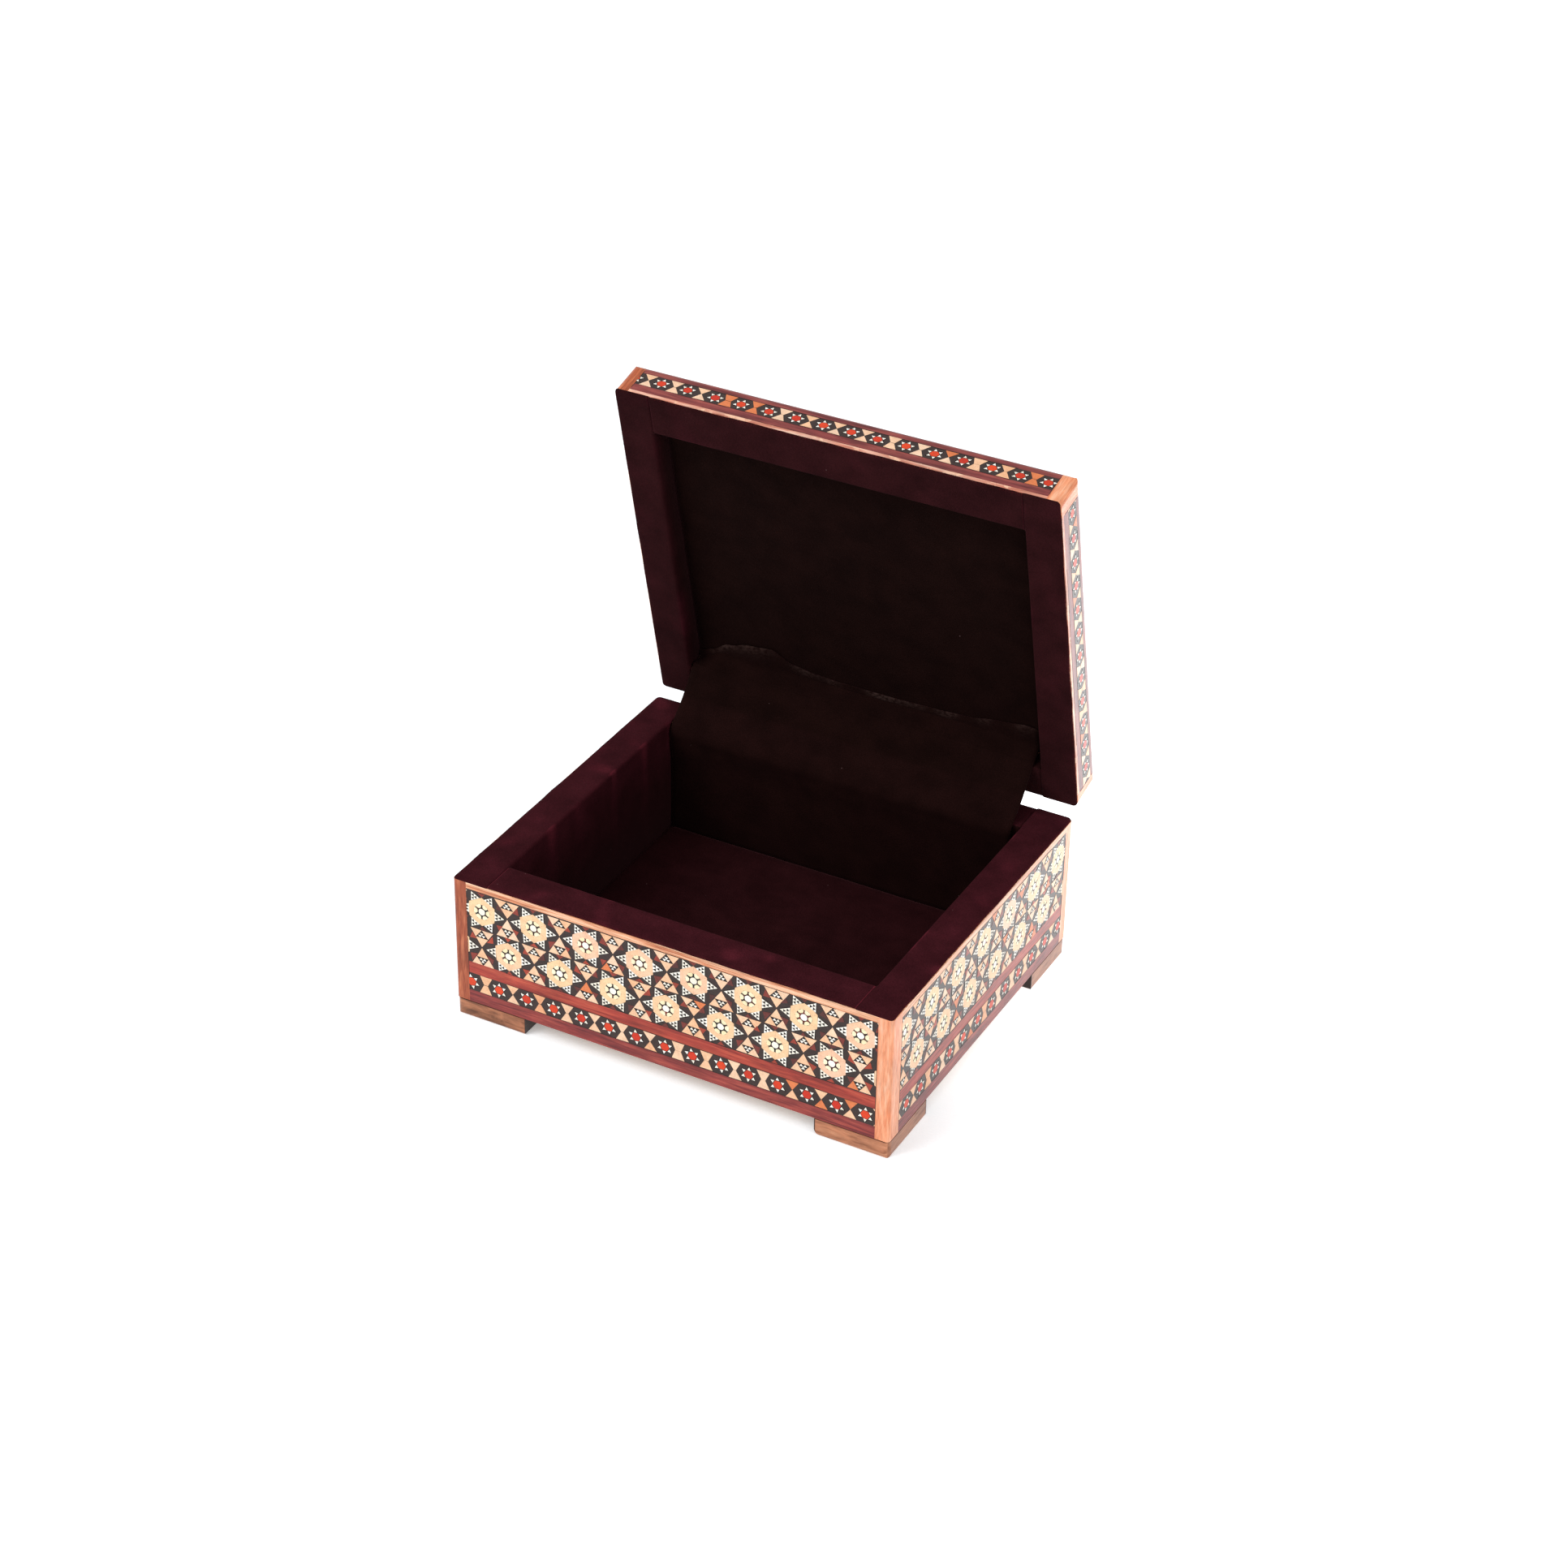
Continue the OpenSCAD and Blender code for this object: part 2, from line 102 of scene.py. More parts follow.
# Each light's place, size and power
KEY_LIGHT = ((-0.9, -1.1, 1.5), 1.0, 19)
FILL_LIGHT = ((1.6, -0.5, 0.9), 1.4, 6)
LIGHT_AIM = Vector((0, 0, 0.05))
SKY_STRENGTH = 0.8
FLOOR_SIZE = 6
# The floor glows round the box, brightest behind it on its right: the middle of the glow, the two
# distances from it that it fades between, its strength there, and its edge under the box
GLOW_CENTRE = (0.15, 0.2, 0)
GLOW_REACH = (0.05, 0.26)
GLOW = (1.9, 0.3)
GLOW_EDGE = 30 * MM


def make_camera():
    azimuth = math.radians(VIEW_AZIMUTH)
    elevation = math.radians(VIEW_ELEVATION)
    back = Vector((
        math.sin(azimuth) * math.cos(elevation),
        -math.cos(azimuth) * math.cos(elevation),
        math.sin(elevation),
    ))
    data = bpy.data.cameras.new("camera")
    data.lens = LENS
    data.sensor_width = SENSOR
    camera = bpy.data.objects.new("camera", data)
    bpy.context.scene.collection.objects.link(camera)
    aimed = (-back).to_track_quat("-Z", "Y").to_matrix().to_4x4()
    rolled = Matrix.Rotation(math.radians(VIEW_ROLL), 4, "Z")
    camera.matrix_world = Matrix.Translation(VIEW_AIM + back * VIEW_DISTANCE) @ aimed @ rolled
    bpy.context.scene.camera = camera


def area_light(name, place, size, power):
    """A square softbox that looks at the middle of the box."""
    data = bpy.data.lights.new(name, "AREA")
    data.shape = "SQUARE"
    data.size = size
    data.energy = power
    light = bpy.data.objects.new(name, data)
    bpy.context.scene.collection.objects.link(light)
    place = Vector(place)
    aim = LIGHT_AIM - place
    light.matrix_world = Matrix.Translation(place) @ aim.to_track_quat("-Z", "Y").to_matrix().to_4x4()


def make_light():
    area_light("key", *KEY_LIGHT)
    area_light("fill", *FILL_LIGHT)
    world = bpy.data.worlds.new("studio")
    world.use_nodes = True
    background = world.node_tree.nodes["Background"]
    background.inputs["Color"].default_value = (1, 1, 1, 1)
    background.inputs["Strength"].default_value = SKY_STRENGTH
    bpy.context.scene.world = world
    bpy.context.scene.view_settings.view_transform = "Standard"
    bpy.context.scene.view_settings.look = "None"


def make_floor():
    mesh = bpy.data.meshes.new("floor")
    half = FLOOR_SIZE / 2
    corners = [(-half, -half, 0), (half, -half, 0), (half, half, 0), (-half, half, 0)]
    mesh.from_pydata(corners, [], [(0, 1, 2, 3)])
    floor = bpy.data.objects.new("floor", mesh)
    bpy.context.scene.collection.objects.link(floor)
    floor.data.materials.append(floor_material())


# ---- The halves of the box and the directions of their grain ----

STILL = Matrix.Identity(4)
# Each half of the box: how its nodes are measured, how it is turned, which way its rim faces and
# what its boards are called
HALVES = {"base": (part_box, STILL, 1, "wall"), "lid": (shut_box, OPENED, -1, "rail")}
ALONG_X = STILL
ALONG_Y = Matrix.Rotation(math.radians(90), 4, "Z")
ALONG_Z = Matrix.Rotation(math.radians(-90), 4, "Y")
LID_TURN = Matrix.Rotation(-OPEN_ANGLE, 4, "X")
LID_X = LID_TURN @ ALONG_X
LID_Y = LID_TURN @ ALONG_Y
LID_Z = LID_TURN @ ALONG_Z
AROUND = (ALONG_X, ALONG_Y)
LID_AROUND = (LID_X, LID_Y)
# How far a face's normal leans to X where the grain of a side begins
SIDE_FACE = (0.69, 0.71)


# ---- Node helpers ----

# How much of the light that falls on a surface it sends back, for its colour on screen
LIT_SHARE = 0.92
WHITE = (1, 1, 1)


def tone(red, green, blue):
    """A colour given as 0 to 255 on screen in this light, as a linear surface colour."""
    return tuple(
        LIT_SHARE * (c / 255 / 12.92 if c <= 10 else ((c / 255 + 0.055) / 1.055) ** 2.4)
        for c in (red, green, blue)
    ) + (1,)


def tones(*colours):
    return [tone(*colour) for colour in colours]


def new_material(name):
    material = bpy.data.materials.new(name)
    material.use_nodes = True
    return material, material.node_tree, material.node_tree.nodes["Principled BSDF"]


def add_node(tree, kind, **values):
    node = tree.nodes.new(kind)
    for key, value in values.items():
        setattr(node, key, value)
    return node


def plug(tree, socket, value):
    """Links an input to an output, or gives it a plain value."""
    if isinstance(value, bpy.types.NodeSocket):
        tree.links.new(value, socket)
    else:
        socket.default_value = value


def feed(tree, node, **inputs):
    """Plugs several inputs of a node, each named with _ for a space."""
    for name, value in inputs.items():
        plug(tree, node.inputs[name.replace("_", " ")], value)


def compute(tree, operation, *values):
    """The result of a math node."""
    node = add_node(tree, "ShaderNodeMath", operation=operation)
    for socket, value in zip(node.inputs, values):
        plug(tree, socket, value)
    return node.outputs[0]


def attribute_value(tree, name):
    return add_node(tree, "ShaderNodeAttribute", attribute_name=name).outputs["Fac"]


def coordinates(tree, turn=ALONG_X, lengths=(1, 1, 1)):
    """The place on the object, turned so that X runs along the grain, in units of lengths."""
    source = add_node(tree, "ShaderNodeTexCoord")
    mapping = add_node(tree, "ShaderNodeMapping", vector_type="TEXTURE")
    feed(tree, mapping, Vector=source.outputs["Object"], Rotation=turn.to_euler(), Scale=lengths)
    return mapping.outputs["Vector"]


def span(tree, value, low, high, to_low, to_high):
    """Maps low to high onto to_low to to_high."""
    node = add_node(tree, "ShaderNodeMapRange")
    feed(tree, node, Value=value, From_Min=low, From_Max=high, To_Min=to_low, To_Max=to_high)
    return node.outputs["Result"]


def axis_sizes(tree, vector):
    """The sizes of a vector's X and Y, and its Z, as sockets."""
    axes = add_node(tree, "ShaderNodeSeparateXYZ")
    feed(tree, axes, Vector=vector)
    x = compute(tree, "ABSOLUTE", axes.outputs["X"])
    y = compute(tree, "ABSOLUTE", axes.outputs["Y"])
    return x, y, axes.outputs["Z"]


def grain_place(tree, turn, lengths):
    """Coordinates along the grain; turn is one matrix, or one for the front and one for the sides."""
    if isinstance(turn, Matrix):
        return coordinates(tree, turn, lengths)
    geometry = add_node(tree, "ShaderNodeNewGeometry")
    sideways = axis_sizes(tree, geometry.outputs["Normal"])[0]
    node = add_node(tree, "ShaderNodeMix", data_type="VECTOR")
    plug(tree, node.inputs[0], span(tree, sideways, *SIDE_FACE, 0, 1))
    plug(tree, node.inputs[4], coordinates(tree, turn[0], lengths))
    plug(tree, node.inputs[5], coordinates(tree, turn[1], lengths))
    return node.outputs[1]


def patches(tree, turn, length, width, detail, roughness, distortion=0):
    """Noise in patches of a length along the grain and a width across it, in millimetres."""
    node = add_node(tree, "ShaderNodeTexNoise")
    place = grain_place(tree, turn, (length * MM, width * MM, width * MM))
    feed(tree, node, Vector=place, Scale=1, Detail=detail, Roughness=roughness, Distortion=distortion)
    return node.outputs["Fac"]


def ramp(tree, value, *stops):
    """A colour ramp with stops as (position, colour)."""
    node = add_node(tree, "ShaderNodeValToRGB")
    elements = node.color_ramp.elements
    for element, (position, colour) in zip(elements, (stops[0], stops[-1])):
        element.position = position
        element.color = colour
    for position, colour in stops[1:-1]:
        elements.new(position).color = colour
    plug(tree, node.inputs["Fac"], value)
    return node.outputs["Color"]


def mix(tree, amount, first, second, blend="MIX"):
    """Mixes two colours; amount and the colours are sockets or plain values."""
    node = add_node(tree, "ShaderNodeMix", data_type="RGBA", blend_type=blend)
    for index, value in ((0, amount), (6, first), (7, second)):
        plug(tree, node.inputs[index], value)
    return node.outputs[2]


def shade(tree, colour, share, value, low, dark, high, light=WHITE):
    """A colour times a ramp that runs from dark, where value is low, to light, where it is high."""
    shading = ramp(tree, value, (low, (*dark, 1)), (high, (*light, 1)))
    return mix(tree, share, colour, shading, "MULTIPLY")


def bump(tree, shader, height, depth, strength=0.5):
    node = add_node(tree, "ShaderNodeBump")
    feed(tree, node, Strength=strength, Distance=depth * MM, Height=height)
    feed(tree, shader, Normal=node.outputs["Normal"])


def lacquer(tree, shader, weight=1.0):
    """A thin clear coat: faint from in front, bright at a low angle."""
    feed(tree, shader, Specular_IOR_Level=0.12, Coat_Weight=weight, Coat_Roughness=0.14, Coat_IOR=1.25)


# ---- Materials ----

WEAVE = 1 / 0.9
FLOOR_TONES = ((0.85, 0.89, 0.92, 1), (0.9, 0.94, 0.97, 1))
# The colour of painted shade, as on the inner ends of the feet
SHADE_TONE = tone(44, 28, 25)
DUST = tone(112, 88, 82)
LINT = tone(150, 120, 120)
# The pale of the lid top's rounded edges: part worn stain, part painted highlight
LID_WORN_HIGHLIGHT = tone(236, 170, 156)
SHEEN = tone(220, 130, 140)
# Length and width of worn patches in millimetres, and the noise levels between which they fade in
WORN_PATCHES = (5, 3, 0.54, 0.62)
FOOT_PATCHES = (8, 4, 0.42, 0.66)
EDGE_STREAKS = (18, 0.8, 0.5, 0.62)
MOST_WORN = 0.7


def outside_box(tree):
    """Where the floor glows: 0 on the floor under the box, a painted shadow there, 1 around it, over an
    edge just inside the box's sides.
    """
    x, y, _ = axis_sizes(tree, coordinates(tree))
    past_x = span(tree, x, CAD_BOX[1][0] - GLOW_EDGE, CAD_BOX[1][0], 0, 1)
    past_y = span(tree, y, -CAD_BOX[0][1] - GLOW_EDGE, -CAD_BOX[0][1], 0, 1)
    return compute(tree, "MAXIMUM", past_x, past_y)


def floor_material():
    """Pale cloth that glows as if lit from below: painted light, brightest behind the box."""
    material, tree, shader = new_material("floor_cloth")
    weave = patches(tree, ALONG_X, WEAVE, WEAVE, 2, 0.6)
    colour = ramp(tree, weave, (0.3, FLOOR_TONES[0]), (0.7, FLOOR_TONES[1]))
    distance = add_node(tree, "ShaderNodeVectorMath", operation="DISTANCE")
    plug(tree, distance.inputs[0], coordinates(tree))
    plug(tree, distance.inputs[1], GLOW_CENTRE)
    glow = span(tree, distance.outputs["Value"], *GLOW_REACH, *GLOW)
    lit = compute(tree, "MULTIPLY", glow, outside_box(tree))
    feed(tree, shader, Base_Color=colour, Roughness=0.9, Specular_IOR_Level=0.1,
         Emission_Color=(*WHITE, 1), Emission_Strength=lit)
    bump(tree, shader, weave, 0.1, 0.4)
    return material


def wood(name, turn, palette, streak=14, gloss=1.0, rough=(0.3, 0.5), knots=0.25, wear=None,
         worn=WORN_PATCHES, lined=False, painted_shade=None, edge_wear_and_highlight=None):
    """Lacquered wood: long streaks of three tones, fine pores, thin dark lines if lined, and worn
    patches if wear is a colour. dirt(tree) gives how dark each place is painted with shade, and
    edge_wear_and_highlight(tree) how pale its edges are painted, part rubbed-off stain and part painted
    highlight."""
    material, tree, shader = new_material(name)
    dark, middle, light = palette
    streaks = patches(tree, turn, streak, 1.1, 4, 0.6, 0.4)
    pores = patches(tree, turn, 4, 0.35, 3, 0.7)
    clouds = patches(tree, turn, 9, 5, 2, 0.5)
    colour = ramp(tree, streaks, (0.32, dark), (0.5, middle), (0.68, light))
    colour = shade(tree, colour, 0.75, pores, 0.3, (0.62, 0.58, 0.56), 0.58)
    colour = shade(tree, colour, 1.0, clouds, 0.35, (1 - knots, 1 - knots, 1 - knots), 0.65)
    if lined:
        lines = patches(tree, turn, 38, 0.4, 3, 0.6)
        colour = shade(tree, colour, 0.9, lines, 0.36, (0.55, 0.34, 0.26), 0.46)
    if wear is not None:
        length, width, low, high = worn
        rubbed = patches(tree, turn, length, width, 3, 0.6, 0.6)
        colour = mix(tree, span(tree, rubbed, low, high, 0, MOST_WORN), colour, wear)
    # Painted shade where dirt(tree) is high
    if painted_shade is not None:
        colour = mix(tree, painted_shade(tree), colour, SHADE_TONE)
    # Painted highlight with rubbed-off stain where edge_wear_and_highlight(tree) is high
    if edge_wear_and_highlight is not None:
        colour = mix(tree, edge_wear_and_highlight(tree), colour, LID_WORN_HIGHLIGHT)
    roughness = span(tree, pores, 0.3, 0.7, rough[1], rough[0])
    feed(tree, shader, Base_Color=colour, Roughness=roughness)
    lacquer(tree, shader, gloss)
    bump(tree, shader, pores, 0.05)
    return material


def tile_material(name, stops, grain, contrast, rough=0.42):
    """One kind of small inlaid tile; each tile's own tint picks its colour from the stops."""
    material, tree, shader = new_material(name)
    specks = patches(tree, ALONG_X, grain, grain, 3, 0.65)
    stains = patches(tree, ALONG_X, 2.6, 2.6, 3, 0.6)
    colour = ramp(tree, attribute_value(tree, "tint"), *[(stop[0], tone(*stop[1:])) for stop in stops])
    low = 1 - contrast
    colour = shade(tree, colour, 1.0, specks, 0.3, (low, low * 0.96, low * 0.92), 0.6)
    colour = shade(tree, colour, 0.7, stains, 0.35, (low, low * 0.95, low * 0.9), 0.6)
    roughness = span(tree, specks, 0.3, 0.7, rough - 0.08, rough + 0.12)
    feed(tree, shader, Base_Color=colour, Roughness=roughness)
    lacquer(tree, shader)
    bump(tree, shader, specks, 0.03)
    return material


def velvet_material():
    """Dark wine pile. Each sheet's nap attribute holds painted light and shade with wear: it runs from 0,
    deep painted shade, over 1, a lit rim, to 2, rubbed, and its dust attribute says how dusty it is."""
    material, tree, shader = new_material("wine_velvet")
    pile = patches(tree, ALONG_X, 0.28, 0.28, 2, 0.7)
    brushed = patches(tree, ALONG_X, 8, 7, 3, 0.5)
    crumbs = patches(tree, ALONG_X, 1.1, 0.8, 4, 0.7)
    shading_and_wear = span(tree, attribute_value(tree, "shading_and_wear"), 0, 2, 0, 1)
    colour = ramp(tree, shading_and_wear, (0, tone(18, 7, 5)), (0.12, tone(29, 12, 11)), (0.5, tone(60, 20, 27)),
                  (1, tone(128, 46, 60)))
    colour = shade(tree, colour, 1.0, brushed, 0.3, (0.78, 0.78, 0.78), 0.72, (1.3, 1.3, 1.3))
    colour = shade(tree, colour, 0.8, pile, 0.25, (0.45, 0.45, 0.45), 0.7, (1.25, 1.25, 1.25))
    crumbled = span(tree, crumbs, 0.38, 0.66, 0, 1)
    dusty = compute(tree, "MULTIPLY", attribute_value(tree, "dust"), crumbled)
    colour = mix(tree, dusty, colour, DUST)
    lint = add_node(tree, "ShaderNodeTexVoronoi")
    feed(tree, lint, Scale=1, Vector=coordinates(tree, ALONG_X, (8 * MM, 9 * MM, 9 * MM)))
    speck = span(tree, lint.outputs["Distance"], 0.02, 0.01, 0, 0.5)
    colour = mix(tree, speck, colour, LINT)
    feed(tree, shader, Base_Color=colour, Roughness=0.95, Specular_IOR_Level=0.03,
         Sheen_Weight=0.05, Sheen_Roughness=0.35, Sheen_Tint=SHEEN)
    bump(tree, shader, pile, 0.12, 0.7)
    return material


def fuzz_material():
    """Single crimson fibres along a cut edge of the velvet."""
    material, tree, shader = new_material("crimson_fuzz")
    hue = patches(tree, ALONG_X, 2, 2, 2, 0.5)
    colour = ramp(tree, hue, (0.3, tone(74, 10, 20)), (0.7, tone(140, 30, 40)))
    feed(tree, shader, Base_Color=colour, Roughness=0.9, Specular_IOR_Level=0.06)
    return material


def brass_material():
    """Rolled brass with brown tarnish and fine scratches."""
    material, tree, shader = new_material("aged_brass")
    tarnish = patches(tree, ALONG_X, 3, 3, 5, 0.65)
    scratch = patches(tree, ALONG_X, 6, 0.12, 2, 0.6)
    colour = ramp(tree, tarnish, (0.3, tone(158, 116, 56)), (0.5, tone(198, 154, 84)),
                  (0.7, tone(218, 178, 106)))
    roughness = span(tree, tarnish, 0.3, 0.7, 0.46, 0.3)
    feed(tree, shader, Base_Color=colour, Metallic=1.0, Roughness=roughness)
    bump(tree, shader, scratch, 0.02)
    return material


# Each kind of tile: its material's name, its tones as (tint, red, green, blue), the size of its
# specks in millimetres and how dark they are
TILES = {
    "bone": ("white_bone", ((0, 248, 243, 228), (1, 255, 254, 248)), 0.4, 0.08),
    "petal": ("cream_bone", ((0, 246, 236, 190), (1, 253, 247, 214)), 0.5, 0.14),
    "ring": (
        "peach_orange_wood", ((0, 251, 214, 166), (0.6, 252, 208, 166), (1, 250, 202, 172)), 0.22, 0.16),
    "glass": (
        "split_orange_wood",
        ((0, 251, 216, 186), (0.55, 250, 203, 164), (0.85, 247, 190, 146), (1, 226, 128, 76)), 0.3, 0.18),
    "black": ("black_wood", ((0, 16, 9, 8), (1, 34, 20, 16)), 0.3, 0.3, 0.4),
    "heart": ("heart_wood", ((0, 26, 12, 8), (0.5, 70, 22, 12), (1, 128, 40, 22)), 0.3, 0.3),
    "sliver": ("red_sliver_wood", ((0, 84, 42, 38), (0.5, 134, 52, 42), (1, 188, 72, 46)), 0.3, 0.3),
    "spark": ("vermilion_wood", ((0, 204, 38, 6), (1, 234, 70, 14)), 0.3, 0.2),
    "ground": ("grey_brown_rods", ((0, 56, 40, 36), (0.6, 74, 56, 50), (1, 92, 68, 58)), 0.3, 0.3),
    "glue": ("glue_line", ((0, 34, 14, 12), (1, 58, 26, 22)), 0.4, 0.3),
}
MATERIALS = {kind: tile_material(*look) for kind, look in TILES.items()}
MATERIALS["velvet"] = velvet_material()
MATERIALS["fuzz"] = fuzz_material()
MATERIALS["brass"] = brass_material()


# ---- Pieces ----

def make_piece(name, points, faces, material, body):
    """A mesh in the row frame, in metres, that rides on a body."""
    mesh = bpy.data.meshes.new(name)
    mesh.from_pydata(points, [], faces)
    mesh.materials.append(MATERIALS[material])
    piece = bpy.data.objects.new(name, mesh)
    bpy.context.scene.collection.objects.link(piece)
    if body is not None:
        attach(piece, body)
    return piece


def sides_of(outline):
    return zip(outline, outline[1:] + outline[:1])


def area_of(outline):
    return sum(a.cross(b) for a, b in sides_of(outline)) / 2


def middle_of(outline):
    return sum(outline, Vector((0, 0))) / len(outline)


def spot(along, angle, across=0.0):
    """The place at a distance along a direction in degrees, and across to its left."""
    c = math.cos(math.radians(angle))
    s = math.sin(math.radians(angle))
    return along * c - across * s, along * s + across * c


def clipped(outline, width, height):
    """The part of an outline that lies on a sheet from (0, 0) to (width, height)."""
    for axis, limit, sign in ((0, 0, 1), (0, width, -1), (1, 0, 1), (1, height, -1)):
        kept = []
        for a, b in sides_of(outline):
            inside_a = sign * (a[axis] - limit) >= 0
            inside_b = sign * (b[axis] - limit) >= 0
            if inside_a:
                kept.append(a)
            if inside_a != inside_b:
                kept.append(a.lerp(b, (limit - a[axis]) / (b[axis] - a[axis])))
        outline = kept
        if len(outline) < 3:
            return []
    return outline


TILE_GAP = 0.03
TILE_RISE = 0.03
TILE_RISE_SPREAD = 0.025
TILE_DEPTH = 0.15
SMALLEST_TILE = 0.03


class Inlay:
    """The tiles of one inlaid sheet. place maps (across, up, out) in millimetres to the row frame."""

    def __init__(self, name, place, width, height, seed):
        self.name = name
        self.place = place
        self.width = width
        self.height = height
        self.rng = random.Random(seed)
        self.kinds = {}

    def vary(self, amount):
        return self.rng.uniform(-amount, amount)

    def lay(self, kind, outline, tint=None, wobble=0.03, gap=TILE_GAP, lift=0.0):
        """Lays one tile: a closed prism let into the sheet, a little proud of it."""
        outline = [p + Vector((self.vary(wobble), self.vary(wobble))) for p in outline]
        rise = TILE_RISE + lift + self.rng.random() * TILE_RISE_SPREAD
        own_tint = self.rng.random() if tint is None else tint
        outline = clipped(outline, self.width, self.height)
        if len(outline) < 3 or abs(area_of(outline)) < SMALLEST_TILE:
            return
        if area_of(outline) < 0:
            outline.reverse()
        edge = sum((b - a).length for a, b in sides_of(outline))
        middle = middle_of(outline)
        shrink = 1 - gap * edge / 2 / area_of(outline)
        outline = [middle + (p - middle) * shrink for p in outline]
        points, faces, tints = self.kinds.setdefault(kind, ([], [], []))
        start = len(points)
        count = len(outline)
        points.extend((p.x, p.y, -TILE_DEPTH) for p in outline)
        points.extend((p.x, p.y, rise) for p in outline)
        faces.append(tuple(start + count + i for i in range(count)))
        faces.append(tuple(start + i for i in reversed(range(count))))
        for i in range(count):
            j = (i + 1) % count
            faces.append((start + i, start + j, start + count + j, start + count + i))
        tints.extend([own_tint] * (count + 2))

    def finish(self, body):
        """Makes one piece of each kind of tile."""
        for kind in sorted(self.kinds):
            points, faces, tints = self.kinds[kind]
            placed = [self.place @ Vector(p) for p in points]
            piece = make_piece(f"{self.name}_{kind}", placed, faces, kind, body)
            attribute = piece.data.attributes.new("tint", "FLOAT", "FACE")
            attribute.data.foreach_set("value", tints)


# ---- The star marquetry ----

STAR_PITCH = 16.06
ROW_HALF = 5.85
CENTRE_R = 1.04
# A petal's outline: distance out from the middle of the star and half width there
PETAL = ((1.26, 0.36), (1.6, 0.7), (1.98, 0.9), (2.28, 0.8), (2.44, 0.42))
HEART_R = (1.02, 2.3)
HEART_SPREAD = 27
RING_R = 4.5
RING_HOLE = ((2.52, 0), (2.44, 16), (2.26, 30))
RING_BULGE = (0.88, 0.05)
RING_GAP = 0.008
POINT_BASE = (3.95, 1.55)
POINT_TIP_SIDE = 7.0
POINT_TIP_SLANTED = 6.5
POINT_ROWS = 3
OUTLINE_W = 0.24
OUTLINE_TIP = 1.6
DOT_LIFT = 0.04
WHITE_DOT = 0.95
BLACK_DOT = 0.88
# How far a star's pieces differ in length and tint
RING_VARIES = 0.16
POINT_VARIES = 0.12
HEART_TINT_VARIES = 0.5
RING_TINT_VARIES = 0.12
# The slivers between a star and its row's edge, and along its slanted sides
SLIVER_APEX = 4.65
SLIVER_HALF = (0.8, 1.7)
SLANT_APEX = (4.8, 5.3)
SLANT_FOOT = (5.88, 3.38)
SLANT_RUN = (0.571, 0.821)
SLANT_HALF = (0.8, 2)


def dotted_triangle(sheet, corners, rows, kind, dot_kind, dot_size):
    """A triangle of one wood with rows of small upside-down triangles of another let into it."""
    sheet.lay(kind, corners, wobble=0.02)
    tip, left, right = corners
    step_left = (left - tip) / rows
    step_across = (right - left) / rows
    for row in range(1, rows):
        for place in range(row):
            a = tip + step_left * row + step_across * place
            dot = [a, a + step_left + step_across, a + step_across]
            middle = middle_of(dot)
            dot = [middle + (p - middle) * dot_size for p in dot]
            sheet.lay(dot_kind, dot, wobble=0.04, gap=0, lift=DOT_LIFT)


def outline_strips(sheet, tip, left, right, width):
    """Thin black strips along the two outer sides of a star's point."""
    middle = (tip + left + right) / 3
    tip_out = tip + (tip - middle).normalized() * width * OUTLINE_TIP
    for base in (left, right):
        across = (tip - base).normalized()
        out = Vector((across.y, -across.x))
        if out.dot(base - middle) < 0:
            out = -out
        sheet.lay("black", [tip, base, base + out * width, tip_out], wobble=0.015)


